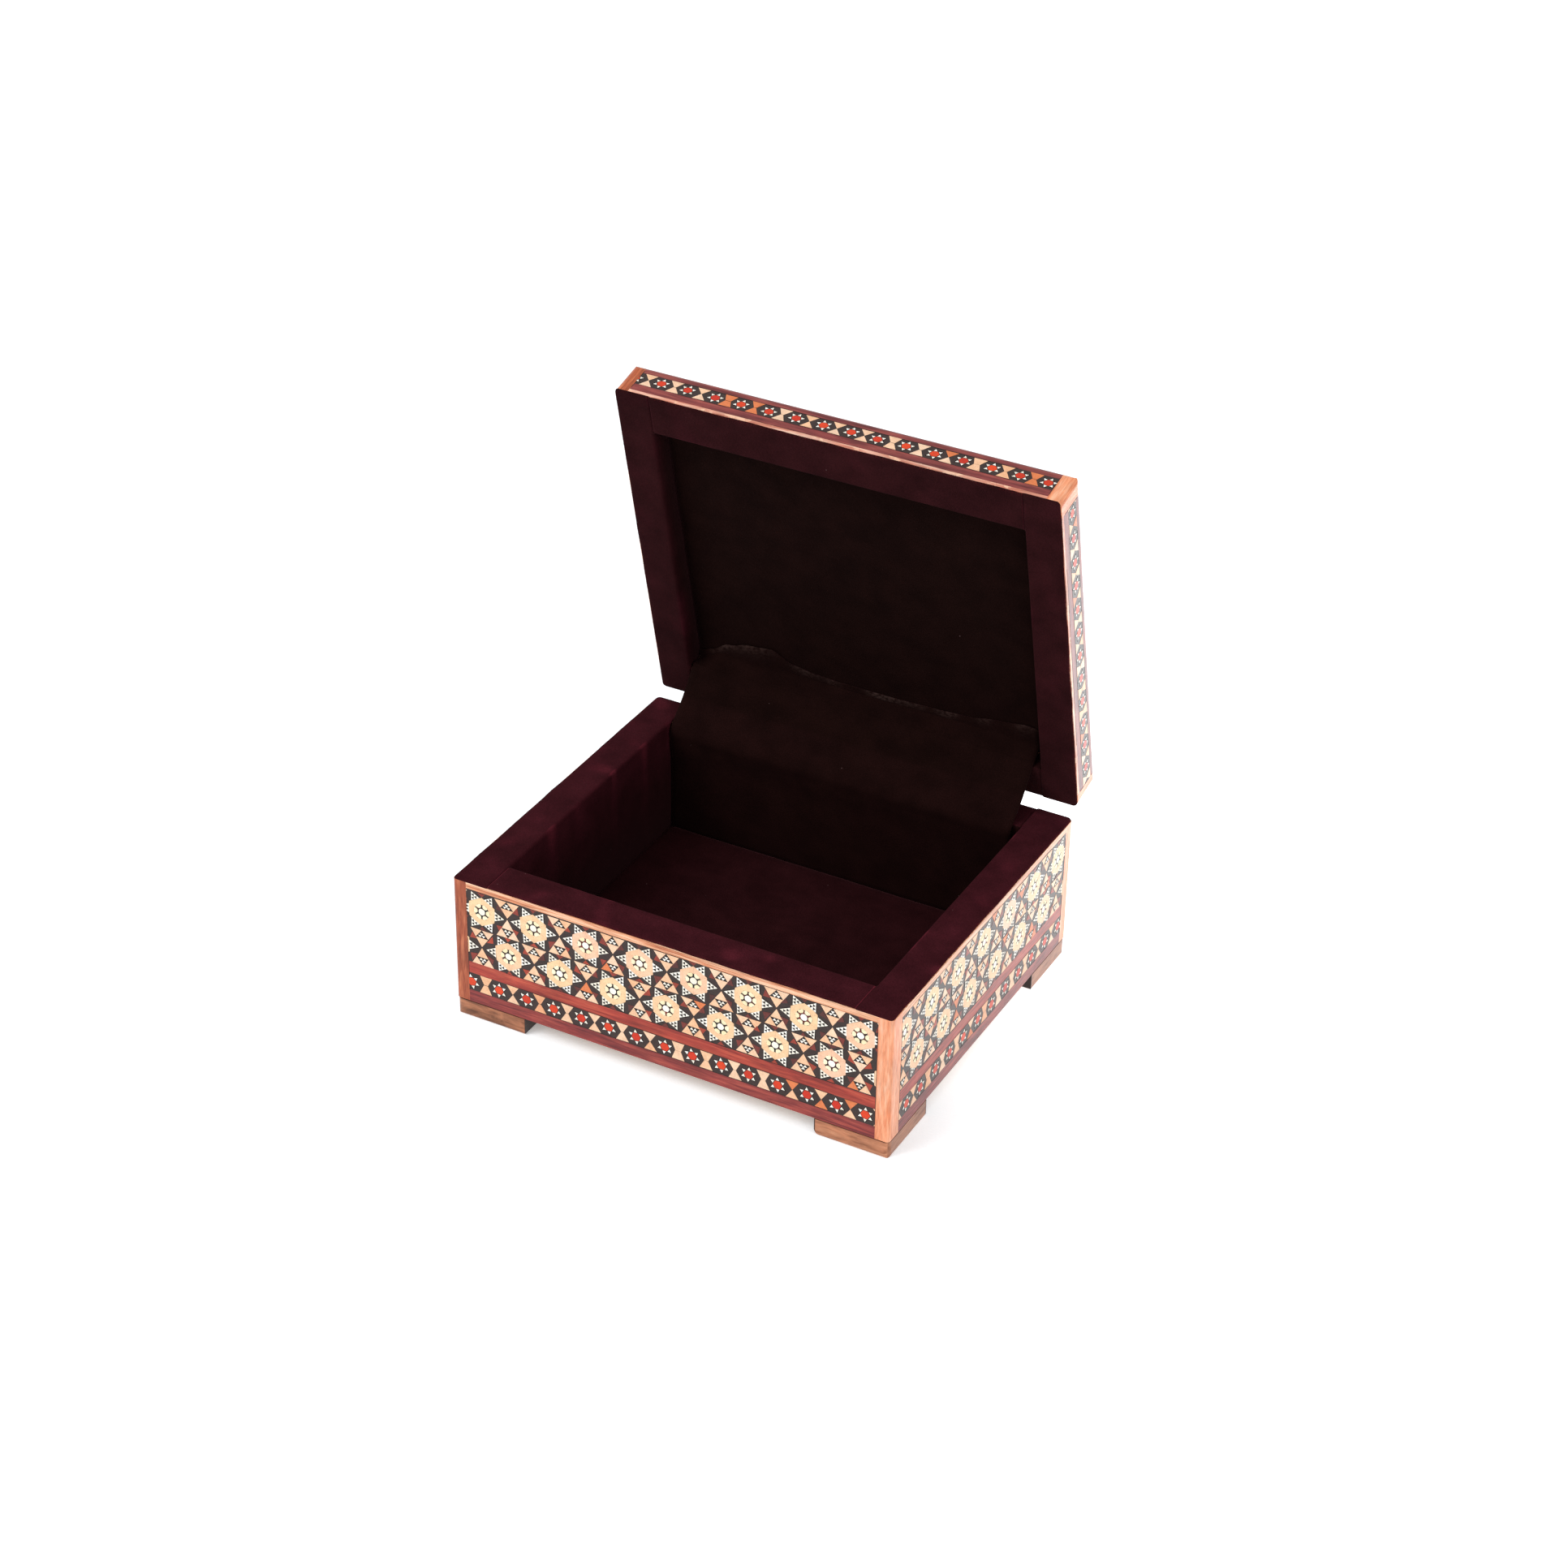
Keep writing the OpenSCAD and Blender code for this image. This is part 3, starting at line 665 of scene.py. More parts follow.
def big_star(sheet, centre, stretch, turn, row_half):
    """A large star: bone centre, petals, dark heart, peach ring and six points of small triangles."""
    tall = row_half / ROW_HALF

    def at(along, angle, across=0.0):
        x, y = spot(along, angle + turn, across)
        return centre + Vector((x * stretch, y * tall))

    sheet.lay("bone", [at(CENTRE_R, 30 * k) for k in range(12)], wobble=0.04)
    ring = [RING_R + sheet.vary(RING_VARIES) for _ in range(6)]
    ring_tint = sheet.rng.random()
    heart_tint = sheet.rng.random()
    for k in range(6):
        middle = 60 * k
        petal = [at(out, middle, wide) for out, wide in PETAL]
        petal += [at(out, middle, -wide) for out, wide in reversed(PETAL)]
        sheet.lay("petal", petal, wobble=0.05)
        corner = middle + 30
        tint = min(1, max(0, heart_tint + sheet.vary(HEART_TINT_VARIES)))
        heart = [
            at(HEART_R[1], corner), at(HEART_R[0], corner + HEART_SPREAD),
            at(HEART_R[0], corner - HEART_SPREAD),
        ]
        sheet.lay("heart", heart, tint, wobble=0.03)
        bulge = RING_R * RING_BULGE[0] + sheet.vary(RING_BULGE[1])
        hole = [at(out, middle + turned) for out, turned in reversed(RING_HOLE)]
        hole += [at(out, middle - turned) for out, turned in RING_HOLE[1:]]
        sector = [at(ring[k - 1], middle - 30), at(bulge, middle), at(ring[k], middle + 30)] + hole
        tint = min(1, max(0, ring_tint + sheet.vary(RING_TINT_VARIES)))
        sheet.lay("ring", sector, tint, wobble=0.0, gap=RING_GAP)
        reach = POINT_TIP_SIDE if k % 3 == 0 else POINT_TIP_SLANTED
        tip = at(reach + sheet.vary(POINT_VARIES), middle)
        left = at(POINT_BASE[0], middle, POINT_BASE[1])
        right = at(POINT_BASE[0], middle, -POINT_BASE[1])
        dotted_triangle(sheet, [tip, left, right], POINT_ROWS, "bone", "black", BLACK_DOT)
        outline_strips(sheet, tip, left, right, OUTLINE_W)
    for side in (-1, 1):
        base = centre.y + side * row_half
        apex = at(SLIVER_APEX, 90 * side)
        near = Vector((centre.x - sheet.rng.uniform(*SLIVER_HALF), base))
        far = Vector((centre.x + sheet.rng.uniform(*SLIVER_HALF), base))
        sheet.lay("sliver", [near, far, apex])
        for slant in (-1, 1):
            apex = at(sheet.rng.uniform(*SLANT_APEX), side * (90 - 60 * slant))
            out = 1 if apex.x > centre.x else -1
            up = 1 if apex.y > centre.y else -1
            foot = centre + Vector((out * SLANT_FOOT[0] * stretch, up * SLANT_FOOT[1] * tall))
            run = Vector((-out * SLANT_RUN[0], up * SLANT_RUN[1]))
            ends = [foot + run * way * sheet.rng.uniform(*SLANT_HALF) for way in (1, -1)]
            sheet.lay("sliver", [apex] + ends)


GLASS_CUT = 0.46
GLASS_INSET = 0.86
GLASS_TINTS = 0.8
# The chance of an orange corner, what a warm triangle adds to it, and the draw above which one is warm
ORANGE_CHANCE = (0.03, 0.1)
WARM_FROM = 0.85
WAIST_VARIES = (0.15, 0.25)
WAIST_GAP = 0.35
ROW_EDGE = 0.12
TOP_HALF = 3.68
BOTTOM_HALF = 3.5


def hourglass_half(sheet, tip, base, half_width):
    """One triangle of an hourglass: three plain corners round a dark one with bone specks."""
    side = Vector((half_width, 0))
    left = base - side
    right = base + side
    low_left = left.lerp(tip, GLASS_CUT)
    low_right = right.lerp(tip, GLASS_CUT)
    warm = sheet.rng.random() > WARM_FROM
    for outline in ([left, base, low_left], [base, right, low_right], [low_left, low_right, tip]):
        tint = sheet.rng.random() * GLASS_TINTS
        if sheet.rng.random() < ORANGE_CHANCE[0] + ORANGE_CHANCE[1] * warm:
            tint = 1
        sheet.lay("glass", outline, tint, wobble=0.05)
    middle = (base + low_left + low_right) / 3
    inner = [middle + (p - middle) * GLASS_INSET for p in (base, low_left, low_right)]
    dotted_triangle(sheet, inner, POINT_ROWS, "black", "bone", WHITE_DOT)


def hourglass(sheet, centre, stretch, row_half):
    """The pair of triangles between two large stars, tip to tip."""
    tall = row_half / ROW_HALF
    waist = centre + Vector((sheet.vary(WAIST_VARIES[0]), sheet.vary(WAIST_VARIES[1])))
    top = centre + Vector((sheet.vary(0.1), row_half - ROW_EDGE))
    bottom = centre + Vector((sheet.vary(0.1), -row_half + ROW_EDGE))
    upper = waist + Vector((0, WAIST_GAP * tall))
    hourglass_half(sheet, upper, top, (TOP_HALF + sheet.vary(0.15)) * stretch)
    hourglass_half(sheet, waist, bottom, (BOTTOM_HALF + sheet.vary(0.12)) * stretch)


STAR_VARIES = (0.18, 0.1)
STAR_TURN = 2.2


def star_rows(sheet, rows, first, pitch, tilt=0.0):
    """Rows of large stars; every second row is moved along by half a pitch."""
    row_height = sheet.height / rows
    stretch = pitch / STAR_PITCH
    for row in range(rows):
        y = sheet.height - row_height * (row + 0.5)
        shift = first + (pitch / 2 if row % 2 else 0)
        start = shift - pitch * math.ceil(shift / pitch)
        for i in range(int(sheet.width / pitch) + 3):
            x = start + pitch * i
            y_here = y + (x - sheet.width / 2) * tilt
            centre = Vector((x + sheet.vary(STAR_VARIES[0]), y_here + sheet.vary(STAR_VARIES[1])))
            if -pitch / 2 < x < sheet.width + pitch / 2:
                big_star(sheet, centre, stretch, sheet.vary(STAR_TURN), row_height / 2)
            middle = Vector((x + pitch / 2, y_here))
            hourglass(sheet, middle, stretch, row_height / 2)


# ---- The small-star bands ----

SPARK_R = 1.4
SPARK_TIP = 2.4
SPARK_BASE = (1.36, 0.52)
SPARK_OUTLINE = 0.2
SPARK_VARIES = (0.25, 0.12)
SPARK_TURN = 14
BAND_H = 5.6
PALE_HALF = 1.92
PALE_TINTS = 0.9
PALE_LEAN = 0.2
PALE_EDGE = 0.08
# Half widths of a pale piece at its waist, of which one is drawn, and the chance of an orange one
PALE_WAISTS = (0.04, 0.04, 0.35, 0.6, 0.85)
ONE_PIECE_FROM = 0.1
PALE_ORANGE_CHANCE = 0.22


def small_star(sheet, centre, turn, tall):
    """A vermilion hexagon with six bone points, each edged in black."""

    def at(along, angle, across=0.0):
        x, y = spot(along, angle + turn, across)
        return centre + Vector((x, y * tall))

    sheet.lay("spark", [at(SPARK_R, 60 * k) for k in range(6)], wobble=0.05)
    for k in range(6):
        middle = 60 * k + 30
        tip = at(SPARK_TIP, middle)
        left = at(SPARK_BASE[0], middle, SPARK_BASE[1])
        right = at(SPARK_BASE[0], middle, -SPARK_BASE[1])
        sheet.lay("bone", [tip, left, right], wobble=0.03)
        outline_strips(sheet, tip, left, right, SPARK_OUTLINE)


def small_hourglass(sheet, x):
    """The pale pieces between two small stars: two triangles, or one waisted piece in two halves."""
    middle = sheet.height / 2
    waist = sheet.rng.choice(PALE_WAISTS)
    tints = [sheet.rng.random() * PALE_TINTS for _ in range(2)]
    if sheet.rng.random() < PALE_ORANGE_CHANCE:
        tints[sheet.rng.randrange(2)] = 1
    if waist > ONE_PIECE_FROM:
        tints[1] = tints[0]
    lean = sheet.vary(PALE_LEAN)
    for side, tint in zip((1, -1), tints):
        edge = middle + side * (middle - PALE_EDGE)
        near = middle + side * 0.02
        end = x + lean * side
        outline = [Vector((end - PALE_HALF, edge)), Vector((end + PALE_HALF, edge))]
        outline += [Vector((x + waist, near)), Vector((x - waist, near))]
        sheet.lay("glass", outline, tint, wobble=0.06)


def star_band(sheet, first, pitch):
    """A row of small stars with pale hourglasses between them."""
    start = first - pitch * math.ceil(first / pitch)
    for i in range(int(sheet.width / pitch) + 3):
        x = start + pitch * i + sheet.vary(SPARK_VARIES[0])
        centre = Vector((x, sheet.height / 2 + sheet.vary(SPARK_VARIES[1])))
        small_star(sheet, centre, sheet.vary(SPARK_TURN), sheet.height / BAND_H)
        small_hourglass(sheet, start + pitch * (i + 0.5))


# ---- Laying the sheets on the box ----

SIDES = ("front", "right", "back", "left")
ACROSS = {
    "front": Vector((1, 0, 0)),
    "right": Vector((0, 1, 0)),
    "back": Vector((-1, 0, 0)),
    "left": Vector((0, -1, 0)),
}
UP = Vector((0, 0, 1))


def face_place(origin, across, up, turn):
    """The matrix from (across, up, out) in millimetres on a face to the row frame."""
    out = across.cross(up)
    basis = Matrix((across, up, out)).transposed().to_4x4()
    return turn @ Matrix.Translation(origin) @ basis @ Matrix.Scale(MM, 4)


def side_face(side, low, high, turn):
    """The place, width and height of the outer face of a box on one side of the piece."""
    across = ACROSS[side]
    out = across.cross(UP)
    origin = Vector((
        high.x if across.x < 0 or out.x > 0 else low.x,
        high.y if across.y < 0 or out.y > 0 else low.y,
        low.z,
    ))
    width = abs((high - low).dot(across)) / MM
    height = (high.z - low.z) / MM
    return face_place(origin, across, UP, turn), width, height


# Where the first star of each of SIDES stands and how far apart its stars are, as the maker laid them;
# for a panel also how far its rows tilt
PANELS = ((4.57, 16.06, 0.004), (1.5, 15.3, -0.006), (7.9, 16.2, 0.003), (5.6, 15.5, 0.005))
BANDS = {
    "base": ((1.07, 8.42), (4.0, 8.37), (3.1, 8.45), (2.2, 8.3)),
    "lid": ((7.07, 8.05), (3.0, 8.1), (4.4, 8.2), (5.2, 8.15)),
}
PANEL_ROWS = 2
# The seeds of each kind of sheet
PANEL_SEED = 100
BAND_SEED = {"base": 200, "lid": 300}
TOP_SEED = 400
TOP_BAND_SEED = 410
SEAM_SEED = 500


def inlay_band(body, i):
    """The band of small stars on one side of a half of the box."""
    get, turn, _, _ = HALVES[body]
    place, width, height = side_face(SIDES[i], *get(f"{body}_star_band_{SIDES[i]}"), turn)
    sheet = Inlay(f"{body}_band_{SIDES[i]}", place, width, height, BAND_SEED[body] + i)
    star_band(sheet, *BANDS[body][i])
    sheet.finish(body)


def inlay_sides():
    """The panel and the band on each side of the base, then the band on each side of the lid."""
    for i, side in enumerate(SIDES):
        place, width, height = side_face(side, *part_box(f"base_star_panel_{side}"), STILL)
        sheet = Inlay(f"base_panel_{side}", place, width, height, PANEL_SEED + i)
        star_rows(sheet, PANEL_ROWS, *PANELS[i])
        sheet.finish("base")
        inlay_band("base", i)
    for i in range(len(SIDES)):
        inlay_band("lid", i)


TOP_ROWS = 7
TOP_BAND_PITCH = 8.2
RIGHTWARD = Vector((1, 0, 0))
BACKWARD = Vector((0, 1, 0))


def inlay_lid_top():
    """The lid's top: seven rows of large stars inside a frame of small ones."""
    low, high = shut_box("lid_top_star_panel")
    place = face_place(Vector((low.x, low.y, high.z)), RIGHTWARD, BACKWARD, OPENED)
    width = (high.x - low.x) / MM
    sheet = Inlay("lid_top_panel", place, width, (high.y - low.y) / MM, TOP_SEED)
    pitch = width / round(width / STAR_PITCH)
    star_rows(sheet, TOP_ROWS, pitch / 2, pitch)
    sheet.finish("lid")
    outer_low, outer_high = shut_box("lid_top_star_band")
    inner_low, inner_high = shut_box("lid_top_inner_border")
    deep = inner_low.y - outer_low.y
    # Where each strip starts, and whether it runs back between the other two
    strips = {
        "front": (outer_low.x, outer_low.y, False),
        "back": (outer_low.x, inner_high.y, False),
        "left": (inner_low.x, inner_low.y, True),
        "right": (outer_high.x, inner_low.y, True),
    }
    for i, side in enumerate(SIDES):
        x, y, upright = strips[side]
        across, up = (BACKWARD, -RIGHTWARD) if upright else (RIGHTWARD, BACKWARD)
        place = face_place(Vector((x, y, outer_high.z)), across, up, OPENED)
        length = (inner_high.y - inner_low.y if upright else outer_high.x - outer_low.x) / MM
        sheet = Inlay(f"lid_top_band_{side}", place, length, deep / MM, TOP_BAND_SEED + i)
        pitch = length / round(length / TOP_BAND_PITCH)
        star_band(sheet, pitch / 2, pitch)
        sheet.finish("lid")


GLUE_W = 0.16
GLUE_STEPS = 24
GLUE_WANDERS = 0.05
GLUE_WIDTHS = (0.6, 1.4)


def glue_lines():
    """The thin dark lines of glue between the strips and beside the corner pieces."""
    borders = {
        "base": ("rim_edging", "middle_border", "bottom_border"),
        "lid": ("upper_border", "lower_border"),
    }
    for body, (get, turn, _, _) in HALVES.items():
        boxes = [get(f"{body}_{border}") for border in borders[body]]
        heights = sorted({round(corner.z, 6) for box in boxes for corner in box})
        for i, side in enumerate(SIDES):
            low, high = get(f"{body}_star_band_{side}")
            low = Vector((low.x, low.y, heights[0]))
            high = Vector((high.x, high.y, heights[-1]))
            place, width, height = side_face(side, low, high, turn)
            sheet = Inlay(f"{body}_seams_{side}", place, width, height, SEAM_SEED + i)
            for z in heights[1:-1] if body == "base" else heights[:-1]:
                seam_line(sheet, (z - heights[0]) / MM)
            for x in (0, width - GLUE_W):
                corners = ((x, 0), (x + GLUE_W, 0), (x + GLUE_W, height), (x, height))
                sheet.lay("glue", [Vector(corner) for corner in corners], wobble=0)
            sheet.finish(body)


def seam_line(sheet, height):
    """One glue line along a sheet, in short lengths that wander a little."""
    marks = range(GLUE_STEPS + 1)
    levels = [height + sheet.vary(GLUE_WANDERS) for _ in marks]
    widths = [GLUE_W / 2 * sheet.rng.uniform(*GLUE_WIDTHS) for _ in marks]
    length = (sheet.width - 2 * GLUE_W) / GLUE_STEPS
    low = [Vector((GLUE_W + length * i, levels[i] - widths[i])) for i in marks]
    high = [Vector((GLUE_W + length * i, levels[i] + widths[i])) for i in marks]
    sheet.lay("glue", low + high[::-1], wobble=0)


# ---- Velvet ----

CLOTH_T = 0.6
CLOTH_STEP = 1.3
FOLD_R = 0.9
# Where there is no wall under a rim, how wide its fold stays and how far it sinks
FOLD_SPREAD = 0.98
FOLD_SINK = 0.28
SEAM_GAP = 0.04
# Painted highlight along the cut ends of each front strip, where it meets the side strips
SEAM_HIGHLIGHT = 0.55
EDGE_ROUND = 0.35
EDGE_INSET = 0.2
SMALLEST_INSET = 0.02
INSET_FADE = 4
END_ROUND = 0.3
RIM_CORNER_R = 1.0
# Levels of painted light and shade on the velvet, from 0, deep shade, to 1, a lit rim: the walls, lid panel
# and floor lie in shade
RIM_SHADING = {"base": 1.0, "lid": 0.55}
WALL_SHADING = {"base": 0.2, "lid": 0.0}
BACK_WALL_SHADING = 0.35
PANEL_SHADING = 0.08
FLOOR_SHADING = 0.5


def always(value):
    return lambda i, j: value


def cloth_mesh(name, top, under, shading_and_wear, body, keep=always(True), dust=always(0.0)):
    """A closed sheet between two grids of points, with only the cells that keep(i, j) wants."""
    turn = HALVES[body][1] if body is not None else STILL
    used = {}
    points = []
    values = {"shading_and_wear": [], "dust": []}

    def index(layer, i, j):
        key = (layer, i, j)
        if key not in used:
            used[key] = len(points)
            points.append(turn @ ((under if layer else top)[i][j] * MM))
            values["shading_and_wear"].append(shading_and_wear(i, j))
            values["dust"].append(dust(i, j))
        return used[key]

    cells = {(i, j) for i in range(len(top) - 1) for j in range(len(top[0]) - 1) if keep(i, j)}
    faces = []
    for i, j in sorted(cells):
        ring = [(i, j), (i + 1, j), (i + 1, j + 1), (i, j + 1)]
        faces.append([index(0, *p) for p in ring])
        faces.append([index(1, *p) for p in reversed(ring)])
        for edge, beside in enumerate(((i, j - 1), (i + 1, j), (i, j + 1), (i - 1, j))):
            if beside not in cells:
                a = ring[edge]
                b = ring[(edge + 1) % 4]
                faces.append([index(0, *b), index(0, *a), index(1, *a), index(1, *b)])
    piece = make_piece(name, points, faces, "velvet", body)
    edit = bmesh.new()
    edit.from_mesh(piece.data)
    bmesh.ops.recalc_face_normals(edit, faces=edit.faces)
    edit.to_mesh(piece.data)
    edit.free()
    for face in piece.data.polygons:
        face.use_smooth = True
    for layer, levels in values.items():
        attribute = piece.data.attributes.new(layer, "FLOAT", "POINT")
        attribute.data.foreach_set("value", levels)
    return piece


def steps_between(low, high, step):
    count = max(1, round((high - low) / step))
    return [low + (high - low) * i / count for i in range(count + 1)]


def ripple(x, y, seed, size):
    """A smooth random height for a point of a sheet."""
    return noise.noise(Vector((x / size, y / size, seed * 7.3)))


def edge_inset(position, low, high, seed, rounded):
    """How far a rim's outer edge lies in from the box's side, wavy and rounded at the box's corners."""
    wave = ripple(0, position, seed + 5, 9) + 0.4 * ripple(0, position, seed + 6, 1.7)
    inset = EDGE_INSET * (1 + wave)
    if rounded:
        over = max(0, RIM_CORNER_R - (position - low), RIM_CORNER_R - (high - position))
        inset += RIM_CORNER_R - math.sqrt(RIM_CORNER_R ** 2 - min(over, RIM_CORNER_R * 0.98) ** 2)
    return max(inset, SMALLEST_INSET)


RIM, FOLD, WALL = range(3)


def fold_profile(rim_w, depth):
    """Points over a rim and down the wall: (inward, height) of the face and of the back, and the part."""
    back_in = rim_w - CLOTH_T
    rows = [
        ((0.02, -CLOTH_T + 0.12), (0.02, -CLOTH_T), RIM),
        ((0.06, -EDGE_ROUND), (0.1, -CLOTH_T), RIM),
        ((0.2, -0.12), (0.25, -CLOTH_T), RIM),
    ]
    for a in steps_between(0.55, rim_w - FOLD_R, CLOTH_STEP):
        rows.append(((a, 0), (min(a, back_in - 0.2), -CLOTH_T), RIM))
    for k in range(1, 6):
        t = math.radians(18 * k)
        face = (rim_w - FOLD_R + FOLD_R * math.sin(t), -FOLD_R + FOLD_R * math.cos(t))
        back = (back_in - 0.15 + 0.15 * math.sin(t), -CLOTH_T - 0.15 + 0.15 * math.cos(t))
        rows.append((face, back, FOLD))
    for b in steps_between(-FOLD_R, -depth, CLOTH_STEP)[1:]:
        rows.append(((rim_w, b), (back_in, b), WALL))
    return rows


def folded_sheet(name, body, rim_w, depth, along, inner, place, seed, rounded):
    """Velvet over one rim and down its wall, where along lies between inner's two ends."""
    profile = fold_profile(rim_w, depth)
    top = []
    under = []
    for position in along:
        inside = inner[0] <= position <= inner[1]
        face_line = []
        back_line = []
        near_end = min(position - along[0], along[-1] - position)
        inset = edge_inset(position, along[0], along[-1], seed, rounded)
        for face, back, part in profile:
            a, b = face
            c, d = back
            if part == RIM:
                a += inset * max(0, 1 - a / INSET_FADE)
                c += inset * max(0, 1 - c / INSET_FADE)
            if part == FOLD and not inside:
                spread = math.atan2(a - (rim_w - FOLD_R), b + FOLD_R)
                a = rim_w - FOLD_R + FOLD_R * spread / math.pi * 2 * FOLD_SPREAD
                b = -FOLD_SINK * (spread / 1.57) ** 3
                c = min(a, c)
                d = -CLOTH_T
            wave = ripple(a + 40 * (part == WALL) * (-b), position, seed, 7) * 0.07
            wave += ripple(a, position, seed + 1, 1.6) * 0.03
            if part == WALL:
                a += wave * 1.5
            else:
                b += wave * min(1, a / 0.5)
            if near_end < END_ROUND and part != WALL:
                b = max(b - (END_ROUND - near_end) * 0.5, d + 0.06)
            face_line.append(place(a, b, position))
            back_line.append(place(c, d, position))
        top.append(face_line)
        under.append(back_line)
    wall_start = next(i for i, row in enumerate(profile) if row[2] == WALL) - 1

    def keep(i, j):
        return j < wall_start or (inner[0] <= along[i] and along[i + 1] <= inner[1])

    # Painted light and shade: lit rims, shaded walls, with rubbed patches on the rims and folds
    def shading_and_wear(i, j):
        part = profile[j][2]
        if part == WALL:
            return WALL_SHADING[body]
        rubbed = max(0, ripple(profile[j][0][0], along[i], seed + 2, 8) - 0.15) * (1.6 if part else 0.5)
        # Painted highlight on the front strip's cut ends
        seam = SEAM_HIGHLIGHT if not rounded and i in (0, 1, len(along) - 2, len(along) - 1) else 0
        return RIM_SHADING[body] * (0.9 + rubbed + seam)

    piece = cloth_mesh(name, top, under, shading_and_wear, body, keep)
    length = along[-1] - along[0]
    wall_length = min(inner[1], along[-1]) - max(inner[0], along[0])
    area = (length * rim_w + wall_length * depth) * MM * MM
    return piece, length * MM, (rim_w + depth) * MM, area


END_STEPS = (0, 0.12, 0.3, 0.6, 0.9)
BREAK_GAP = 0.05


def with_breaks(low, high, breaks, step):
    """Positions from low to high that step past each break just before and just after it."""
    marks = [low]
    for mark in breaks:
        marks += [mark - BREAK_GAP, mark + BREAK_GAP]
    marks.append(high)
    out = [low + e for e in END_STEPS]
    for a, b in zip(marks[::2], marks[1::2]):
        out += steps_between(max(a, low + step), min(b, high - step), step)
    out += [high - e for e in reversed(END_STEPS)]
    return out


def line_velvet(body):
    """The two side strips and the front strip of one half of the box."""
    get, _, sign, board = HALVES[body]
    right_low, right_high = get(f"velvet_{body}_right")
    front_low, front_high = get(f"velvet_{body}_front")
    outer_x = right_high.x / MM
    rim_w = (right_high.x - right_low.x) / MM
    depth = (right_high.z - right_low.z) / MM
    rim_z = (right_high.z if sign > 0 else right_low.z) / MM
    front_y = front_low.y / MM
    front_w = (front_high.y - front_low.y) / MM
    inner = (front_y + front_w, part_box("base_wall_back")[0].y / MM)
    end = outer_x - rim_w - SEAM_GAP
    side_along = with_breaks(front_y, right_high.y / MM, inner, CLOTH_STEP)
    front_along = with_breaks(-end, end, (), CLOTH_STEP)

    def on_side(out):
        return lambda a, b, along: Vector((out * (outer_x - a), along, rim_z + sign * b))

    def on_front(a, b, along):
        return Vector((along, front_y + a, rim_z + sign * b))

    sheets = {
        "left": (rim_w, side_along, inner, on_side(-1), 1),
        "right": (rim_w, side_along, inner, on_side(1), 4),
        "front": (front_w, front_along, (-end, end), on_front, 7),
    }
    for side, (width, along, walled, place, seed) in sheets.items():
        piece, length, width, area = folded_sheet(
            f"velvet_sheet_{body}_{side}", body, width, depth, along, walled, place,
            seed + 10 * (sign < 0), side != "front")
        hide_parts(f"velvet_{body}_{side}")


BACK_RIM_T = 0.35
BACK_WALL_T = 0.14
BACK_FOLD_R = 0.25
BACK_SIDE_GAP = 0.06
BACK_END_GAP = 0.1
BACK_STEP = 1.6


def back_profile(wall, outer, lift, depth):
    """(y, height) over the back board and down its inner face, for the face and the back of the velvet.

    Heights are from the top of the board; lift is how far the sheet at the outside stands over it."""
    step_y = outer - BACK_STEP
    high = lift + BACK_RIM_T
    edge = ((outer - 0.04, lift + 0.02), (outer - 0.1, lift + 0.2), (outer - 0.3, high))
    rows = [((y, h), (y, lift)) for y, h in (*edge, (step_y + 0.1, high))]
    for y in steps_between(step_y - 0.6, wall + 0.5, CLOTH_STEP):
        rows.append(((y, BACK_RIM_T), (y, 0)))
    for degrees in (0, 30, 60, 90):
        t = math.radians(degrees)
        y = wall + BACK_FOLD_R - (BACK_FOLD_R + BACK_WALL_T) * math.sin(t)
        rows.append(((y, BACK_RIM_T * math.cos(t)), (wall + 0.02 * math.cos(t), 0)))
    for h in steps_between(-0.6, -depth, 2.5):
        rows.append(((wall - BACK_WALL_T, h), (wall, h)))
    return rows


def line_back_rim(body):
    """The thin velvet over the back board and down its inner face, under the strip that crosses it."""
    get, _, sign, boards = HALVES[body]
    board = f"{body}_{boards}_back"
    low, high = get(board)
    board_z = (high.z if sign > 0 else low.z) / MM
    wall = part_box("base_wall_back")[0].y / MM
    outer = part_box("base_star_panel_back")[1].y / MM
    inner = get(f"velvet_{body}_right")[0].x / MM - BACK_SIDE_GAP
    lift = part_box("base_rim_edging")[1].z / MM - board_z if sign > 0 else 0
    end = get("velvet_base_floor" if sign > 0 else "velvet_lid_panel")[0].z / MM
    depth = abs(end - board_z)
    profile = back_profile(wall, outer, lift, depth - BACK_END_GAP)
    xs = steps_between(-inner, inner, CLOTH_STEP)

    def layer(side):
        lines = [row[side] for row in profile]
        return [[Vector((x, y, board_z + sign * h)) for y, h in lines] for x in xs]

    # Painted shade down the back board's inner face, painted light on its top
    def shading_and_wear(i, j):
        return BACK_WALL_SHADING if profile[j][0][0] < wall else RIM_SHADING[body] * 0.8

    piece = cloth_mesh(f"velvet_sheet_{body}_back", layer(0), layer(1), shading_and_wear, body)


FIBRES_PER_MM = 7
FIBRE_R = 0.022
FIBRE_ROOT = 0.12


